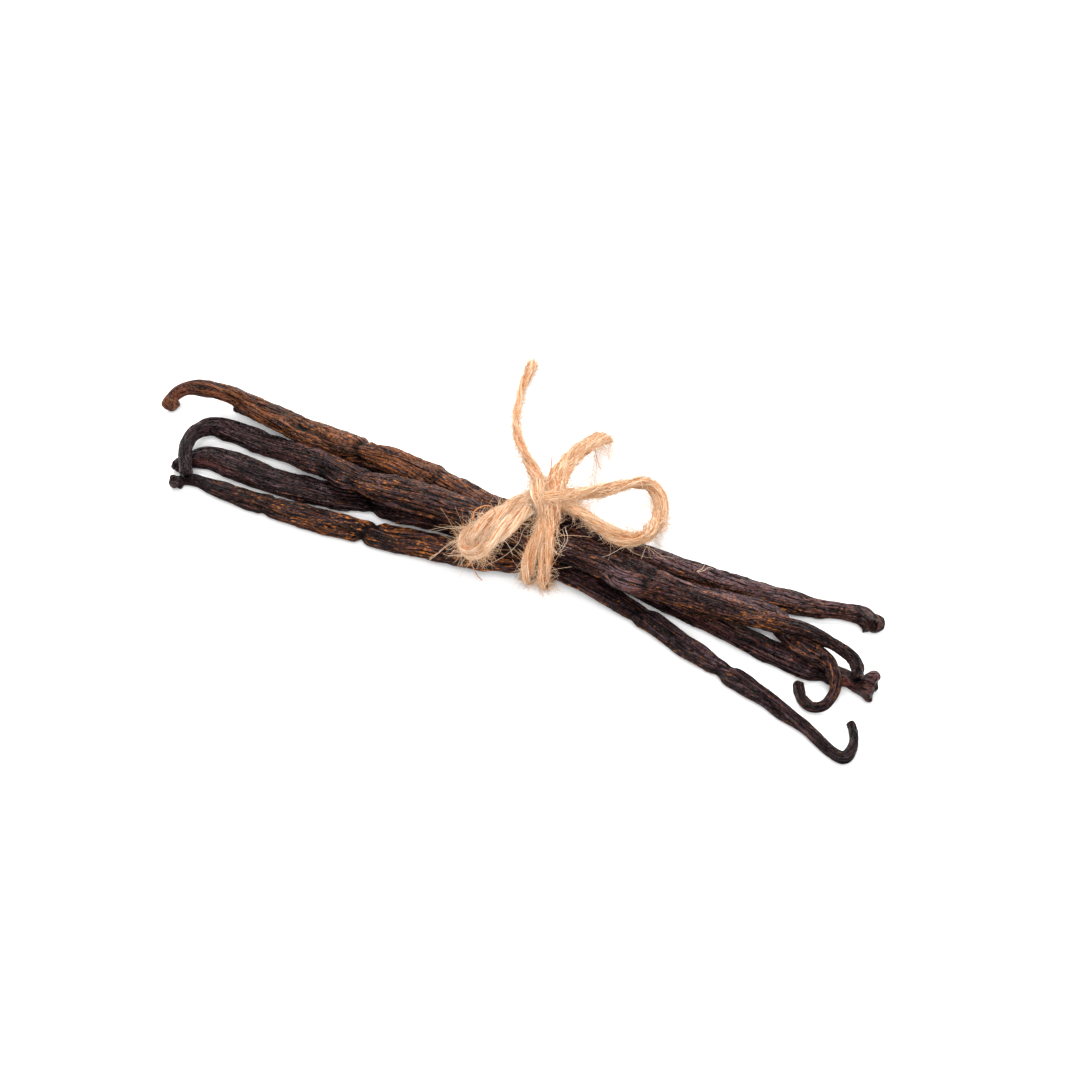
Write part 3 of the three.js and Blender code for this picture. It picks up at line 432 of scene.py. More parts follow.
def pod_line(name):
    """Distances of a pod's rings from its left tip, how full they are, and the carried line there
    with the width and thickness, eased between the rows of its table."""
    rows = np.array(PODS[name])
    length, row_at = measured(rows[:, :3])
    kinds = POD_CHARACTER[name]["ends"]
    fill_a, back_a = tip_rings(kinds[0], rows[0, 3] / 2)
    fill_b, back_b = tip_rings(kinds[1], rows[-1, 3] / 2)
    body = np.linspace(back_a[-1], length - back_b[-1], RINGS - len(back_a) - len(back_b) + 2)[1:-1]
    distances = np.concatenate([back_a, body, length - back_b[::-1]])
    fill = np.concatenate([fill_a, np.ones(len(body)), fill_b[::-1]])
    at = row_at(distances)
    low = np.clip(at.astype(int), 0, len(rows) - 2)
    share = eased(0, 1, at - low)[:, None]
    size = rows[low, 3:] * (1 - share) + rows[low + 1, 3:] * share
    return distances, fill, carried(rows[:, :3], distances, UPRIGHT), size, length


def patch_at(place, turn, at, degrees, long, spread):
    """1 at a place and turn, falling off as a bell along the pod and around it."""
    away = (turn - math.radians(degrees) + np.pi) % (2 * np.pi) - np.pi
    return np.exp(-(((place - at) / long) ** 2) - (away / math.radians(spread)) ** 2)


def pod_relief(name, place, turn, girth, length):
    """Height in mm over the smooth pod, the marks that its finish reads, and the turn that the grain
    follows. Shrunken skin lies in V-shaped furrows: depth * (the lesser of |noise| and about 1.1, less
    about 0.7) for noises with 2 to 4, 7 to 12 and 16 to 25 folds around, deeper where a slow noise makes
    it rough and shallower where it is calm. Slow lumps, a crinkle, lumpy tips, creases across each pinch
    and the table's swellings are added."""
    character = POD_CHARACTER[name]
    seed = character["seed"]
    waver = (0.09 * waves(place, turn, seed, (1, 2), (30, 80))
             + 0.03 * waves(place, turn, seed + 1, (2, 5), (8, 18)))
    bent = turn + waver + character["twist"] * place
    broad = np.abs(waves(place, bent, seed + 2, (2, 4), (60, 260)))
    narrow = np.abs(waves(place, bent, seed + 3, (7, 12), character["lay"]))
    fine = np.abs(waves(place, bent, seed + 4, (16, 25), np.array(character["lay"]) * 0.5))
    rough = np.clip(0.8 + 0.4 * waves(place, turn, seed + 5, (1, 3), (7, 28)), 0.25, 1.6)
    marks = {mark: np.zeros_like(broad) for mark in ("red", "sheen", "calm")}
    for mark in ("pale", "flecks"):
        stops = np.array(character[mark], float)
        marks[mark] = np.interp(place, stops[:, 0], stops[:, 1]) + np.zeros_like(broad)
    for mark, at, degrees, long, spread, amount in character["patches"]:
        marks[mark] = marks[mark] + amount * patch_at(place, turn, at, degrees, long, spread)
    still = np.clip(marks.pop("calm"), 0, 1)
    rough = rough * (1 - still)
    depth = character["depth"] * np.clip(girth / 2.3, 0.35, 1.15) * (1 - 0.5 * still)
    height = depth * ((0.4 + 0.3 * rough) * (np.minimum(broad, 1.1) - 0.7)
                      + (0.5 + 0.45 * rough) * (np.minimum(narrow, 1.0) - 0.65)
                      + (0.2 + 0.35 * rough) * (np.minimum(fine, 1.1) - 0.7)
                      + 0.08 * rough * waves(place, turn, seed + 8, (6, 24), (1.6, 6)))
    height += 0.07 * waves(place, turn, seed + 6, (1, 3), (5, 16))
    knobs = (character["knobs"][0] * np.exp(-((place / 3.2) ** 2))
             + character["knobs"][1] * np.exp(-(((length - place) / 3.6) ** 2)))
    height += knobs * waves(place, turn, seed + 7, (2, 4), (2.5, 6))
    crease = np.zeros_like(height)
    for at, deep, wide, tilt in character["pinches"]:
        away = (place - at - tilt * np.cos(turn - seed) - 0.3 * np.cos(3 * turn + at)) / wide
        crease += np.exp(-(away**2)) * min(1, 1.5 * deep)
        height -= deep * (np.exp(-(away**2)) - 0.28 * np.exp(-((np.abs(away) - 2.4) ** 2)))
    for at, degrees, long, spread, high in character["swellings"]:
        height += high * patch_at(place, turn, at, degrees, long, spread)
    # Where the skin gets painted shade: in the furrows and across each pinch's crease.
    marks["furrow"] = np.clip((1 - 0.8 * still) * (0.7 * np.clip(1 - broad / 0.15, 0, 1)
                                                   + np.clip(1 - narrow / 0.24, 0, 1))
                              + 0.5 * rough * np.clip(1 - fine / 0.3, 0, 1) + crease, 0, 1)
    marks["ridge"] = eased(0.5, 1.2, narrow)
    return height, marks, bent


def inside(points, room):
    """For points near a bent rod, how far through it each lies: below 1 inside, above 1 outside, as a
    point over 1 mm past either end is. The nearest place on the rod is found for 4000 points at a time."""
    middle, along, side, rise, half_width, half_thickness = room
    near = np.empty(len(points), int)
    for part in np.array_split(np.arange(len(points)), max(1, len(points) // 4000)):
        near[part] = np.argmin(((points[part, None] - middle[None]) ** 2).sum(-1), axis=1)
    offset = points - middle[near]
    across = (offset * side[near]).sum(-1) / half_width[near]
    over = (offset * rise[near]).sum(-1) / half_thickness[near]
    beyond = np.abs((offset * along[near]).sum(-1)) > 1.0
    return np.where(beyond, 9.0, np.hypot(across, over))


def make_room(points, own_middle, rooms):
    """Draws points that lie inside another rod back towards their own middle line until they lie on
    that rod's surface, by halving the step seven times."""
    for room in rooms:
        low, high = room[0].min(0) - 6, room[0].max(0) + 6
        picked = np.flatnonzero(((points > low) & (points < high)).all(1))
        picked = picked[inside(points[picked], room) < 1]
        if not len(picked):
            continue
        start, reach = own_middle[picked], points[picked] - own_middle[picked]
        share, step = np.full(len(picked), 0.5), 0.25
        for _ in range(7):
            clear = inside(start + reach * share[:, None], room) > 1
            share = np.where(clear, share + step, share - step)
            step /= 2
        points[picked] = start + reach * share[:, None]


def room_of(line, size, gap):
    """The space that a rod fills, as `inside` reads it: its carried line, and half its sizes plus a gap."""
    middle, along, side, rise = line
    return middle, along, side, rise, size[:, 0] / 2 + gap, size[:, 1] / 2 + gap


def make_pod(name, finish, rooms):
    """A pod: middle + side * (half width + relief) cos turn + rise * (half thickness + 0.8 relief) sin
    turn, never below the table and never inside what lies against it. A crown spreads in four points,
    which swell and reach out by the fourth power of the cosine of twice the turn from the first of them.
    It returns the pod's room, which every fourth ring is enough for."""
    distances, fill, line, size, length = pod_line(name)
    middle, along, side, rise = line
    turn = np.linspace(0, 2 * np.pi, AROUND, endpoint=False)[None]
    place = distances[1:-1, None]
    full = fill[1:-1, None]
    girth = (size[1:-1, :1] + size[1:-1, 1:]) / 4
    height, marks, bent = pod_relief(name, place, turn, girth, length)
    ends = POD_CHARACTER[name]["ends"]
    reach = np.zeros_like(height)
    if ends[1] == "crown":
        open_up = eased(length - CROWN_LONG, length, place)
        lobe = np.cos(2 * (turn - FIRST_POINT) + 0.25 * np.sin(turn)) ** 4
        height = height + open_up * (0.75 * lobe - 0.1)
        reach = open_up * (0.1 + 0.7 * lobe) * full**2
    open_face = (ends[0] == "cut") * (place < length / 2) + (ends[1] == "cut") * (place > length / 2)
    # Painted shade over the sunk face of each cut end.
    marks["furrow"] = np.maximum(marks["furrow"], open_face * eased(0.95, 0.7, full))
    across = full * (size[1:-1, :1] / 2 + height) * np.cos(turn)
    over = full * (size[1:-1, 1:] / 2 + height * 0.8) * np.sin(turn)
    points = (middle[1:-1, None] + across[..., None] * side[1:-1, None] + over[..., None] * rise[1:-1, None]
              + reach[..., None] * along[1:-1, None]).reshape(-1, 3)
    own_middle = np.repeat(middle[1:-1], AROUND, axis=0)
    make_room(points, own_middle, rooms)
    points = np.vstack([points, middle[[0, -1]]])
    points[:, 2] = np.maximum(points[:, 2], 0.0)
    straight = np.stack(np.broadcast_arrays(place, girth * np.cos(bent), girth * np.sin(bent)), -1)
    tips = np.array([[distances[0], 0, 0], [distances[-1], 0, 0]])
    marks = {key: np.append(np.broadcast_to(value, height.shape).ravel(), [0.5, 0.5])
             for key, value in marks.items()}
    marks["straight"] = np.vstack([straight.reshape(-1, 3), tips])
    faces = skin_faces(len(distances) - 2, AROUND, reverse=True)
    piece = place_mesh(name + "_skin", (points, faces, marks), finish)
    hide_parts(name)
    few = slice(None, None, 4)
    return room_of([part[few] for part in line], size[few], POD_GAP)


# ---- Twine ----

# The map of the pods' tops: the side of a square, how many squares, and its corner.
SQUARE, SQUARES, CORNER = 0.5, (420, 130), np.array([-104.0, -34.0])

# Strands: mm between points, radius in mm, sides of the tube, and a turn about the ply in turns of the ply.
STRAND_STEP, STRAND_RADIUS, STRAND_SIDES, STRAND_TURN = 0.65, 0.105, 3, 1.7
# How far a strand wavers, as a share of half the width, with the shortest and the longest wave in mm.
SWAYS = ((0.09, 10, 24), (0.05, 5, 10), (0.02, 2, 4))
LOOSE_SHARE, LOOSE_SWAY = 0.12, 2.2  # the share of the strands that waver more, and how many times as far
CORE_SIDES, CORE_SHADE = 10, 0.3
ALONG_HAIR = np.linspace(0, 1, 7)[None, :, None]  # places along a hair, as shares of its length
PATH_POINTS, ROOM_POINTS = 60, 80  # along a cord's path and along the room of a turn of twine


def map_tops():
    """Height of the pods' tops over squares of the table: the highest point of any pod in each."""
    tops = np.zeros(SQUARES)
    turn = np.linspace(0, 2 * np.pi, 64, endpoint=False)[None, :, None]
    for name in PODS:
        _, fill, (middle, _, side, rise), size, _ = pod_line(name)
        half = fill[:, None, None] * size[:, None] / 2
        points = (middle[:, None] + half[..., :1] * np.cos(turn) * side[:, None]
                  + half[..., 1:] * np.sin(turn) * rise[:, None]).reshape(-1, 3)
        column = ((points[:, :2] - CORNER) / SQUARE).astype(int)
        np.maximum.at(tops, (column[:, 0], column[:, 1]), points[:, 2])
    return tops


def laid_down(lines, radii, tops):
    """Lines kept above the table, and above the pods where they start no lower than 0.6 mm under a top
    and rise less than 2.5 mm for it."""
    column = ((lines[..., :2] - CORNER) / SQUARE).astype(int)
    under = tops[tuple(np.clip(column[..., k], 0, SQUARES[k] - 1) for k in (0, 1))]
    over = (under[:, :1] > 0) & (lines[:, :1, 2] > under[:, :1] - 0.6)
    over &= ((under - lines[..., 2]).max(1) < 2.5)[:, None]
    lines[..., 2] = np.maximum(lines[..., 2], np.where(over, under, 0) + radii)
    return lines


def twine_line(rows, distances, upright):
    """A twine's carried line and half its width and thickness at each distance, side by side."""
    rows = np.asarray(rows, float)
    length, row_at = measured(rows[:, :3])
    at = row_at(np.clip(distances, 0, length))
    half = np.stack([np.interp(at, np.arange(len(rows)), rows[:, column]) / 2 for column in (3, 4)], -1)
    return (*carried(rows[:, :3], distances, upright), half)


def tubes(lines, radii, sides):
    """A closed round tube along each line, with a tip 0.7 radii past each end: points in mm, faces and the
    number of points in each."""
    count, steps = lines.shape[:2]
    along = unit(np.gradient(lines, axis=1))
    reference = np.where(np.abs(along[..., 2:]) > 0.9, [1.0, 0.0, 0.0], [0.0, 0.0, 1.0])
    first = unit(np.cross(along, reference))
    second = np.cross(along, first)
    turn = np.linspace(0, 2 * np.pi, sides, endpoint=False)[:, None]
    rings = (lines[:, :, None] + radii[:, :, None, None]
             * (np.cos(turn) * first[:, :, None] + np.sin(turn) * second[:, :, None]))
    tips = np.stack([lines[:, 0] - along[:, 0] * radii[:, :1] * 0.7,
                     lines[:, -1] + along[:, -1] * radii[:, -1:] * 0.7], 1)
    points = np.concatenate([rings.reshape(count, -1, 3), tips], 1)
    points[..., 2] = np.maximum(points[..., 2], 0.0)
    shift = (np.arange(count) * (steps * sides + 2))[:, None, None]
    faces = [(face[None] + shift).reshape(-1, face.shape[1]) for face in skin_faces(steps, sides)]
    return points.reshape(-1, 3), faces, steps * sides + 2


def spread_over(values, sides):
    """A value at each step of each line, repeated on the points of its tube and on its two tips."""
    return np.concatenate([np.repeat(values, sides, axis=1), values[:, [0, -1]]], 1).ravel()


def loose_fibres(lines, radii, shades, tops, sides=3):
    """Fibres laid down as closed tubes, with what the jute reads on them: each one's shade, no place along
    a strand, and a place outside the twine."""
    points, faces, each = tubes(laid_down(lines, radii, tops), radii, sides)
    return points, faces, {"fibre": np.repeat(shades, each), "laid": np.zeros((len(points), 3)),
                           "outer": np.full(len(points), 1.2)}


def joined(parts):
    """Several (points, faces, marks) as one."""
    starts = np.cumsum([0] + [len(part[0]) for part in parts])
    points = np.vstack([part[0] for part in parts])
    quads = np.vstack([part[1][0] + start for part, start in zip(parts, starts)])
    fans = np.vstack([part[1][1] + start for part, start in zip(parts, starts)])
    marks = {key: np.concatenate([part[2][key] for part in parts]) for key in parts[0][2]}
    return points, [quads, fans], marks


def bundle(rows, twist, strands, seed, upright=UPRIGHT, flare=0.0, ragged=0.0, darkest=0.0):
    """Twine: plies turn about the middle line and strands turn about their ply. A strand lies at ply
    centre + spread * (cos, sin) of its own turn, and wavers by a few slow sines. `flare` opens the far
    end, `ragged` cuts strands short there, and `darkest` is the darkest one's shade. Each ply has a plain
    core, which starts 0.3 mm in and stops 0.9 mm short."""
    plies, lay, off_centre, spread_out = twist
    draw = np.random.default_rng(seed)
    length, _ = measured(np.asarray(rows, float)[:, :3])
    steps = max(8, int(length / STRAND_STEP))
    ply = np.arange(strands) % plies
    stop = length - draw.uniform(0, ragged, strands)[:, None]
    distance = stop * np.linspace(0, 1, steps)[None]
    middle, _, side, rise, half = (part.reshape(strands, steps, -1)
                                   for part in twine_line(rows, distance.ravel(), upright))
    angle = 2 * np.pi * (distance / lay + (ply / plies)[:, None]) + seed
    spread = spread_out * np.sqrt(draw.uniform(0.4, 1.0, strands))[:, None]
    own = draw.uniform(0, 2 * np.pi, strands)[:, None] + 2 * np.pi * distance / (lay * STRAND_TURN)
    sway = [sum(amount * np.cos(2 * np.pi * distance / draw.uniform(low, high, (strands, 1))
                                + draw.uniform(0, 6.28, (strands, 1)))
                for amount, low, high in SWAYS) for _ in range(2)]
    loose = np.where(draw.random(strands) < LOOSE_SHARE, LOOSE_SWAY, 1.0)[:, None]
    open_up = 1 + flare * np.exp(-(length - distance) / 2.0)
    x = (off_centre * np.cos(angle) + spread * np.cos(own) + loose * sway[0]) * open_up
    y = (off_centre * np.sin(angle) + spread * np.sin(own) + loose * sway[1]) * open_up
    half = np.maximum(half - STRAND_RADIUS * 0.7, 0.2)
    lines = middle + (x * half[..., 0])[..., None] * side + (y * half[..., 1])[..., None] * rise
    radii = STRAND_RADIUS * draw.uniform(0.6, 1.25, strands)[:, None] * np.ones(steps)
    lines[..., 2] = np.maximum(lines[..., 2], radii)
    points, faces, each = tubes(lines, radii, STRAND_SIDES)
    shade = draw.uniform(darkest, 1.0, strands)
    laid = np.stack([spread_over(distance, STRAND_SIDES), np.repeat(shade * 40, each),
                     np.zeros(len(points))], -1)
    # The outer mark, how far a strand lies from the middle, sets the jute's painted shade.
    outer = (points, faces, {"fibre": np.repeat(shade, each), "laid": laid,
                             "outer": spread_over(np.hypot(x, y), STRAND_SIDES)})

    distance = np.broadcast_to(np.linspace(0.3, length - 0.9, steps), (plies, steps))
    middle, _, side, rise, half = (part.reshape(plies, steps, -1)
                                   for part in twine_line(rows, distance.ravel(), upright))
    angle = 2 * np.pi * (distance / lay + (np.arange(plies) / plies)[:, None]) + seed
    lines = (middle + (off_centre * half[..., 0] * np.cos(angle))[..., None] * side
             + (off_centre * half[..., 1] * np.sin(angle))[..., None] * rise)
    radii = (0.45 if plies > 1 else 0.6) * half.min(-1)
    points, faces, _ = tubes(lines, radii, CORE_SIDES)
    # The plain core, with outer 0, takes the jute's full painted shade.
    core = (points, faces, {"fibre": np.full(len(points), CORE_SHADE), "laid": np.zeros((len(points), 3)),
                            "outer": np.zeros(len(points))})
    return joined([outer, core])


def hairs(rows, kinds, seed, tops, upright=UPRIGHT):
    """Loose hairs: from a point on the twine's surface, base + start * t + bend * t^2 + curl * t^3,
    setting off between the twine's own direction and straight out. A kind of hair is [how many,
    shortest, longest, radius, how far it stands out, from and to which share of the length]."""
    draw = np.random.default_rng(seed)
    length, _ = measured(np.asarray(rows, float)[:, :3])
    parts = []
    for count, shortest, longest, radius, stand, low, high in kinds:
        distance = np.clip(draw.uniform(low, high, count) * length, 0.2, length - 0.2)
        middle, along, side, rise, half = twine_line(rows, distance, upright)
        angle = draw.uniform(0, 2 * np.pi, count)[:, None]
        outward = np.cos(angle) * side * half[:, :1] + np.sin(angle) * rise * half[:, 1:]
        reach = np.exp(draw.uniform(math.log(shortest), math.log(longest), count))[:, None]
        way = unit(draw.choice([-1, 1], count)[:, None] * along * draw.uniform(0.4, 1.4, (count, 1))
                   + unit(outward) * draw.uniform(0.1, 1.0, (count, 1)) * stand
                   + 0.25 * draw.normal(size=(count, 3)))
        bend = draw.normal(size=(count, 3)) * 0.40
        curl = draw.normal(size=(count, 3)) * 0.35
        t = ALONG_HAIR
        lines = (middle + 0.88 * outward)[:, None] + reach[:, None] * (
            way[:, None] * t + bend[:, None] * t**2 + curl[:, None] * t**3)
        radii = radius * draw.uniform(0.7, 1.3, count)[:, None] * (1 - 0.55 * t[..., 0])
        parts.append(loose_fibres(lines, radii, draw.uniform(0.45, 1.0, count), tops))
    return joined(parts)


def wisps(rows, count, seed, tops):
    """Fibres that run on past a cut end: base + way * (reach * t) + bend * t^2, sinking by 0.5 * t^2 of
    their reach until they lie on the table."""
    draw = np.random.default_rng(seed)
    length, _ = measured(np.asarray(rows, float)[:, :3])
    middle, along, side, rise, half = twine_line(rows, length - draw.uniform(0.3, 3.0, count), UPRIGHT)
    across, over = draw.uniform(-0.9, 0.9, (2, count, 1))
    base = middle + across * half[:, :1] * side + over * half[:, 1:] * rise
    reach = np.exp(draw.uniform(math.log(1.8), math.log(4.4), count))[:, None]
    way = unit(along + 0.35 * across * side + 0.22 * draw.normal(size=(count, 3)))
    bend = reach * 0.30 * draw.normal(size=(count, 3)) - 0.5 * reach * UPRIGHT
    t = ALONG_HAIR
    lines = base[:, None] + (way * reach)[:, None] * t + bend[:, None] * t**2
    radii = draw.uniform(0.03, 0.07, (count, 1)) * (1 - 0.5 * t[..., 0])
    return loose_fibres(lines, radii, draw.uniform(0.2, 1.0, count), tops)


# ---- Finishes ----


def tint(red, green, blue):
    """A colour as it looks on a screen, 0 to 255, as the light it reflects."""
    screen = np.array([red, green, blue]) / 255
    light = np.where(screen <= 0.04045, screen / 12.92, ((screen + 0.055) / 1.055) ** 2.4)
    return (*light, 1.0)


class Lead:
    """One output of a finish's node, which adds, subtracts and multiplies as a number does."""

    def __init__(self, finish, socket):
        self.finish, self.socket = finish, socket

    def maths(self, operation, *values):
        """A Math node's result for this operation on these values."""
        return self.finish.node("ShaderNodeMath", {"operation": operation}, dict(enumerate(values)))

    def __add__(self, other):
        return self.maths("ADD", self, other)

    def __sub__(self, other):
        return self.maths("SUBTRACT", self, other)

    def __rsub__(self, other):
        return self.maths("SUBTRACT", other, self)

    def __mul__(self, other):
        return self.maths("MULTIPLY", self, other)

    __radd__ = __add__
    __rmul__ = __mul__

    def size(self):
        """The number without its sign."""
        return self.maths("ABSOLUTE", self)

    def between(self, low, high):
        """0 below low, 1 above high, smooth between."""
        return self.finish.node("ShaderNodeMapRange", {"interpolation_type": "SMOOTHSTEP"},
                                {"Value": self, "From Min": low, "From Max": high})


class Finish:
    """A material under construction."""

    def __init__(self, name, **shader):
        self.material = bpy.data.materials.new(name)
        self.material.use_nodes = True
        self.tree = self.material.node_tree
        self.shader = self.tree.nodes["Principled BSDF"]
        self.put(self.shader, shader)

    def put(self, node, sockets):
        """Fills a node's sockets, each with a value or with a lead from another node."""
        for socket, value in sockets.items():
            target = node.inputs[socket.replace("_", " ") if isinstance(socket, str) else socket]
            if isinstance(value, Lead):
                self.tree.links.new(value.socket, target)
            else:
                target.default_value = value

    def node(self, kind, settings, sockets, output=0):
        """A node of a kind with its settings, a ramp's stops among them, and its sockets filled."""
        node = self.tree.nodes.new(kind)
        for name, value in settings.items():
            if name == "stops":
                while len(node.color_ramp.elements) < len(value):
                    node.color_ramp.elements.new(0.5)
                for element, (position, colour) in zip(node.color_ramp.elements, value):
                    element.position, element.color = position, colour
            else:
                setattr(node, name, value)
        self.put(node, sockets)
        return Lead(self, node.outputs[output])

    def mark(self, name, vector=False):
        """A mark kept on the mesh's points, as a number or as a vector."""
        return self.node("ShaderNodeAttribute", {"attribute_name": name}, {}, "Vector" if vector else "Fac")

    def grain(self, where, stretch, scale, detail=3.0, roughness=0.55, shift=0.0):
        """Noise whose space is first stretched, so that it runs in streaks."""
        laid = self.node("ShaderNodeMapping", {}, {"Vector": where, "Scale": stretch,
                                                   "Location": (shift, shift, shift)})
        return self.node("ShaderNodeTexNoise", {}, {"Vector": laid, "Scale": scale, "Detail": detail,
                                                    "Roughness": roughness})

    def blend(self, share, under, over):
        """A colour laid over another by a share. Sockets 6 and 7 and output 2 are a Mix node's colours."""
        return self.node("ShaderNodeMix", {"data_type": "RGBA"}, {0: share, 6: under, 7: over}, 2)

    def bumped(self, height, depth, strength=1.0):
        """The normal of a surface raised by height x depth, in metres."""
        return self.node("ShaderNodeBump", {}, {"Height": height, "Distance": depth, "Strength": strength})


def cured_skin(name):
    """Oily wrinkled skin: near black, or brown where it is pale, in long streaks. Over that lie, in this
    order, a red tint; light lines along the grain, golden on pale skin and a painted violet-grey highlight
    on dark skin; a painted violet-grey highlight on ridge tops, stronger in sheen patches; a painted
    violet-grey sheen over those patches; rubbed tan lines; orange flecks in short dashes; and fine tan
    specks and pale violet specks, both painted glints. Painted shade darkens the furrows, the creases, the
    sunk faces of cut ends, fine grooves along the grain and small pits."""
    skin = Finish(name, IOR=1.5, Specular_IOR_Level=0.14, Specular_Tint=(1.0, 0.82, 0.80, 1.0))
    where = skin.mark("straight", vector=True)
    furrow, ridge, pale, flecks, red, sheen = (
        skin.mark(mark) for mark in ("furrow", "ridge", "pale", "flecks", "red", "sheen"))
    drawn_out = (0.03, 1.0, 1.0)  # the grain of what runs for centimetres along a pod
    streak = skin.grain(where, drawn_out, 1.1, 2.0, 0.5)
    thread = skin.grain(where, (0.05, 1.0, 1.0), 3.4, 1.0, 0.6, 7.0)
    crinkle = skin.grain(where, (0.5, 1.0, 1.0), 2.2, 3.0, 0.75, 17.0)
    patch = skin.grain(where, (0.4, 1.0, 1.0), 0.25, 2.0, 0.5, 13.0)
    dash = skin.grain(where, (0.24, 1.0, 1.0), 3.2, 1.0, 0.7, 29.0)
    dark_line = skin.grain(where, drawn_out, 1.9, 1.0, 0.5, 41.0)
    light_line = skin.grain(where, drawn_out, 1.9, 1.0, 0.5, 61.0)
    tan_glint_grain = skin.grain(where, (0.6, 1.0, 1.0), 3.4, 1.0, 0.6, 83.0)
    glint_and_pit_grain = skin.grain(where, (0.4, 1.0, 1.0), 3.2, 1.0, 0.6, 97.0)

    tone = streak * 0.55 + thread * 0.45
    light = tone.between(0.42, 0.58)
    # Painted shade along fine grooves of the grain, which the bump also cuts in; less on pale and red skin.
    groove_shade = (1.0 - (dark_line - 0.5).size().between(0.0, 0.07)) * (1.0 - pale * 0.35 - red * 0.5)
    gleam = 1.0 - (light_line - 0.5).size().between(0.0, 0.06)
    tan = (thread + patch * 0.3 + flecks * 0.08).between(0.73, 0.79)
    speck = (dash + patch * 0.35 + flecks * 0.13).between(0.88, 0.92)
    # Painted shade in small pits, which the bump also dents.
    pit_shade = (1.0 - glint_and_pit_grain).between(0.56, 0.64)
    brown = skin.blend(light, tint(23, 10, 5), tint(126, 70, 32))
    # Colour of the gleam lines: golden on pale skin, a painted violet-grey highlight on dark skin.
    gleam_and_gold = skin.blend(pale, tint(82, 60, 68), tint(143, 88, 47))
    body = skin.blend(light, tint(6, 4, 4), tint(31, 16, 20))
    for share, colour in (
            (pale * patch.between(0.15, 0.55), brown),
            (red * tone.between(0.3, 0.6) * 0.8, tint(74, 32, 24)),
            # Gleam lines along the grain: golden threads on pale skin, painted highlight on dark skin.
            (gleam * (0.25 + patch.between(0.35, 0.65) * 0.5 + sheen * 0.3), gleam_and_gold),
            # Painted highlight: violet-grey on the ridge tops, stronger in sheen patches.
            (ridge * patch.between(0.35, 0.6) * (0.35 + sheen * 0.5), tint(59, 41, 48)),
            # Painted sheen: violet-grey where sheen patches lie.
            ((sheen - 0.35 + patch * 0.5).between(0.1, 0.5) * 0.6, tint(93, 72, 77)),
            (tan * flecks * 0.8, tint(99, 56, 27)),
            (speck * (0.3 + flecks * 0.6), tint(170, 100, 41)),
            # Painted glints: fine tan specks, more on pale skin and in sheen patches.
            (tan_glint_grain.between(0.62, 0.68) * (0.22 + pale * 0.3 + sheen * 0.25), tint(134, 92, 72)),
            # Painted glints: pale violet-grey specks, most in sheen patches.
            (glint_and_pit_grain.between(0.56, 0.62) * (0.1 + sheen * 0.4), tint(118, 96, 100)),
            # Painted shade: near black in furrows, creases, cut faces, grooves and pits.
            ((furrow * 0.9 + groove_shade * 0.85 + pit_shade * 0.5).between(0.0, 1.0), tint(4, 3, 4))):
        body = skin.blend(share, body, colour)
    relief = thread * 0.6 + crinkle * 0.7 + speck * 0.1 - groove_shade * 0.5 - pit_shade * 0.3
    skin.put(skin.shader, {
        "Base Color": body,
        "Roughness": 0.13 + 0.28 * crinkle + 0.10 * furrow,
        "Normal": skin.bumped(relief, 0.0006),
    })
    return skin.material


def jute(name):
    """Pale dry fibre: each strand has its own straw shade, changing slowly along it, with painted shade,
    warmer and darker, on the strands near the middle of the twine and on the plain cores."""
    fibre = Finish(name, IOR=1.45, Specular_IOR_Level=0.23)
    where = fibre.mark("laid", vector=True)
    along = fibre.grain(where, (0.22, 1.0, 1.0), 1.0, 3.0, 0.6)
    thread = fibre.grain(where, (0.5, 8.0, 1.0), 2.0, 2.0, 0.6, 3.0)
    shade = fibre.mark("fibre") * 0.6 + along * 0.4
    straw = fibre.node("ShaderNodeValToRGB", {"stops": [
        (0.10, tint(158, 84, 39)), (0.34, tint(187, 134, 91)), (0.60, tint(203, 162, 124)),
        (0.86, tint(230, 211, 190))]}, {"Fac": shade})
    # Painted shade: warmer and darker towards the middle of the twine.
    straw = fibre.blend(1.0 - fibre.mark("outer").between(0.3, 0.85), straw, tint(172, 110, 67))
    fibre.put(fibre.shader, {
        "Base Color": straw,
        "Roughness": 0.60 + 0.25 * thread,
        "Normal": fibre.bumped(thread, 0.00008, 0.5),
    })
    return fibre.material


def floor_finish(name):
    """A plain pale floor with the faintest mottle."""
    plain = Finish(name, Roughness=0.6)
    where = plain.node("ShaderNodeTexCoord", {}, {}, "Object")
    cloud = plain.grain(where, (1.0, 1.0, 1.0), 3.0, 1.0)
    plain.put(plain.shader, {"Base Color": plain.blend(cloud, tint(247, 247, 247), tint(250, 250, 250))})
    return plain.material


# ---- Camera ----


def set_camera():
    """A long lens from the front right, half-way up, aimed at the table under the tie."""
    height, around, away = math.radians(50), math.radians(25), 0.660
    back = Vector((math.sin(around) * math.cos(height), -math.cos(around) * math.cos(height),
                   math.sin(height)))
    right = Vector((math.cos(around), math.sin(around), 0))
    data = bpy.data.cameras.new("camera")
    data.lens, data.sensor_width, data.clip_start = 100, 36, 0.01
    camera = bpy.data.objects.new("camera", data)
    bpy.context.scene.collection.objects.link(camera)
    target = Vector((*(FROM_TIE[:2] * MM), 0.006))
    turned = Matrix((right, back.cross(right), back)).transposed()
    camera.matrix_world = Matrix.Translation(target + back * away) @ turned.to_4x4()
    bpy.context.scene.camera = camera


set_camera()

# ---- Making the twine ----

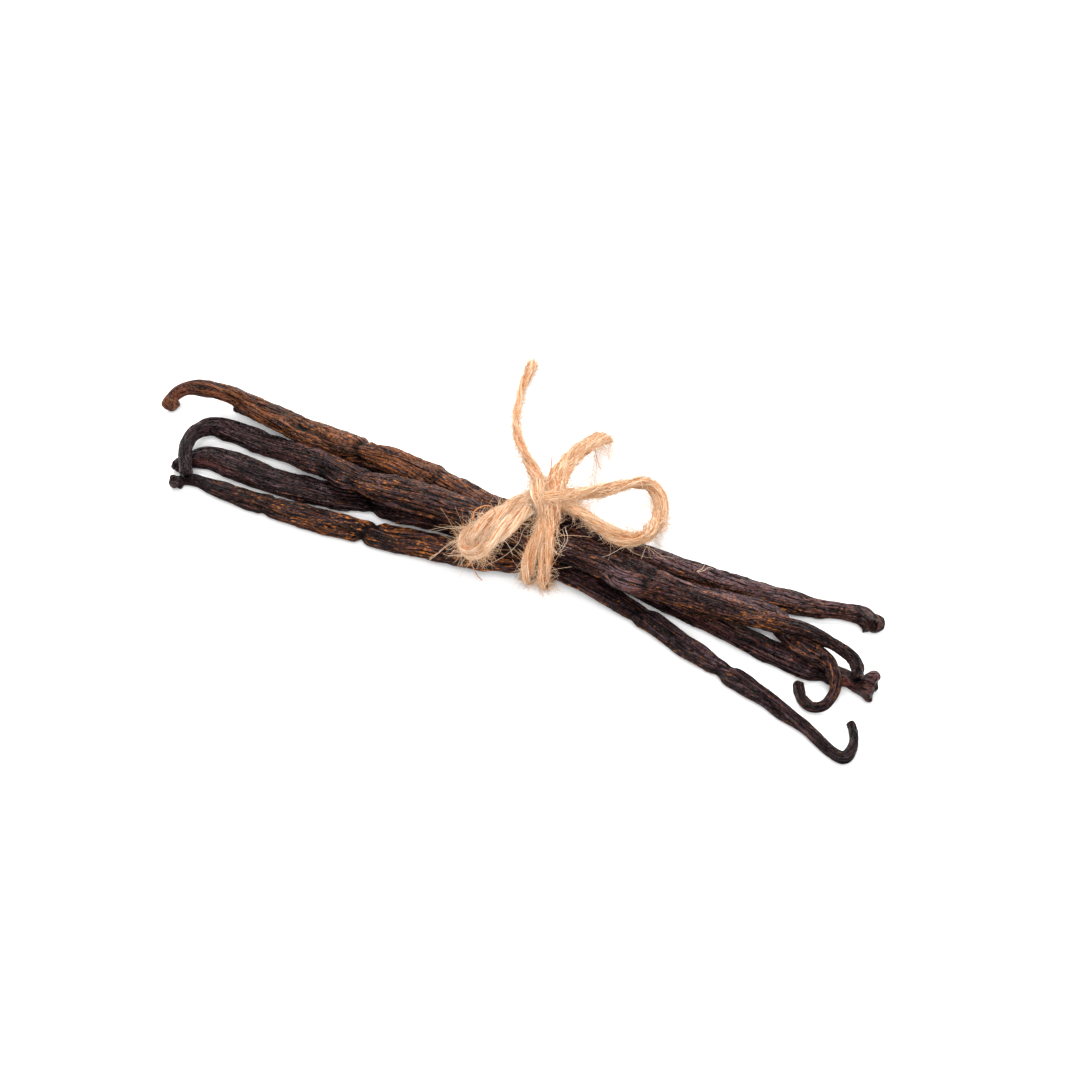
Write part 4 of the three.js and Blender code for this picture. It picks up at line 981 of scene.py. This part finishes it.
straw = jute("jute_fibre")
tops = map_tops()
for name, cord in FREE_TWINE.items():
    rows = np.array(cord["route"], float)
    bare = cord["far_end"] == "bare"
    strands = bundle(rows, cord["twist"], cord["strands"], cord["seed"], flare=0.35 * bare,
                     ragged=0.9 * bare, darkest=cord.get("shade", 0.0))
    piece = place_mesh(name + "_strands", strands, straw)
    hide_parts(name)
    loose = [hairs(rows, cord.get("fuzz", FUZZ), cord["seed"] + 100, tops)]
    if bare:
        loose.append(wisps(rows, cord["strands"] // 2, cord["seed"] + 200, tops))
    fuzz = place_mesh(name + "_fuzz", joined(loose), straw)
    length, row_at = measured(rows[:, :3])
    path = (through(rows[:, :3], row_at(np.linspace(0, length, PATH_POINTS))) + FROM_TIE) * MM
    rows[:, 3].mean() * MM

wrap_rooms = []
for number, rows in enumerate(WRAPS, 1):
    strands = bundle(rows, WRAP_TWIST, WRAP_STRANDS, 20 + number, upright=ACROSS)
    piece = place_mesh(f"wrap_{number}_strands", strands, straw)
    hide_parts("twine_tie")
    fuzz = hairs(rows, WRAP_FUZZ, 30 + number, tops, upright=ACROSS)
    place_mesh(f"wrap_{number}_fuzz", fuzz, straw)
    length, _ = measured(np.array(rows)[:, :3])
    *line, half = twine_line(rows, np.linspace(0, length, ROOM_POINTS), ACROSS)
    wrap_rooms.append(room_of(line, 2 * half, WRAP_GAP))

for number, (name, rows) in enumerate(KNOT.items()):
    strands = bundle(rows, KNOT_TWIST, KNOT_STRANDS, 50 + number, darkest=0.15)
    piece = place_mesh(name, strands, straw)
    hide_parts("twine_tie")
    place_mesh(name + "_fuzz", hairs(rows, KNOT_FUZZ, 60 + number, tops), straw)


def stray_fibres():
    """Each loose fibre is a tube, half as thick at its end, along the smooth line through its places.
    Fibres that lie together start within 0.8 mm of each other and part by up to 2 mm."""
    draw = np.random.default_rng(77)
    run = np.linspace(0, 1, 24)
    parts = []
    for count, thick, shade, places in STRAYS:
        length, row_at = measured(places)
        line = through(places, row_at(run * length))[None]
        shift = draw.uniform(-0.4, 0.4, (count, 1, 3)) * (count > 1)
        part_by = draw.uniform(-1.0, 1.0, (count, 1, 3)) * (count > 1)
        lines = line + shift + part_by * (run**2)[None, :, None]
        radii = np.repeat(thick * (1 - 0.5 * run)[None] / 2, count, axis=0)
        parts.append(loose_fibres(lines, radii, np.full(count, shade), tops, sides=5))
    return joined(parts)


place_mesh("stray_fibres", stray_fibres(), straw)

# ---- Making the pods ----

rooms = list(wrap_rooms)
skins = {slot: cured_skin(slot + "_skin") for slot in ("pod_dark", "pod_brown")}
for name in ("pod_top", "pod_back", "pod_curled", "pod_middle", "pod_front"):
    rooms.append(make_pod(name, skins[POD_SLOTS[name]], rooms))

# ---- Floor and light ----


def set_stage():
    """A wide pale floor under a soft light above and behind, a long pale card at the back, which lays the
    sheen on the skins, a fill in front that adds no shine, and a pale sky."""
    mesh = bpy.data.meshes.new("floor")
    mesh.from_pydata([(-4, -4, 0), (4, -4, 0), (4, 4, 0), (-4, 4, 0)], [], [(0, 1, 2, 3)])
    mesh.materials.append(floor_finish("floor"))
    floor = bpy.data.objects.new("floor", mesh)
    floor.location.z = -0.0003
    bpy.context.scene.collection.objects.link(floor)
    for name, place, size, power, gleam_and_gold in (("key", (-0.35, 0.45, 0.95), (0.6, 0.6), 18.9, True),
                                            ("card", (-0.2, 1.2, 0.30), (1.8, 0.5), 10.4, True),
                                            ("fill", (0.3, -0.6, 0.9), (0.8, 0.8), 16.3, False)):
        data = bpy.data.lights.new(name, "AREA")
        data.shape, data.size, data.size_y, data.energy = "RECTANGLE", *size, power
        light = bpy.data.objects.new(name, data)
        bpy.context.scene.collection.objects.link(light)
        light.location = place
        light.rotation_euler = (-Vector(place)).to_track_quat("-Z", "Y").to_euler()
        light.visible_glossy = gleam_and_gold
    world = bpy.data.worlds.new("sky")
    bpy.context.scene.world = world
    world.use_nodes = True
    sky = world.node_tree.nodes["Background"].inputs
    sky["Color"].default_value = (1.0, 1.0, 1.0, 1.0)
    sky["Strength"].default_value = 0.40
    bpy.context.scene.view_settings.view_transform = "Standard"


set_stage()
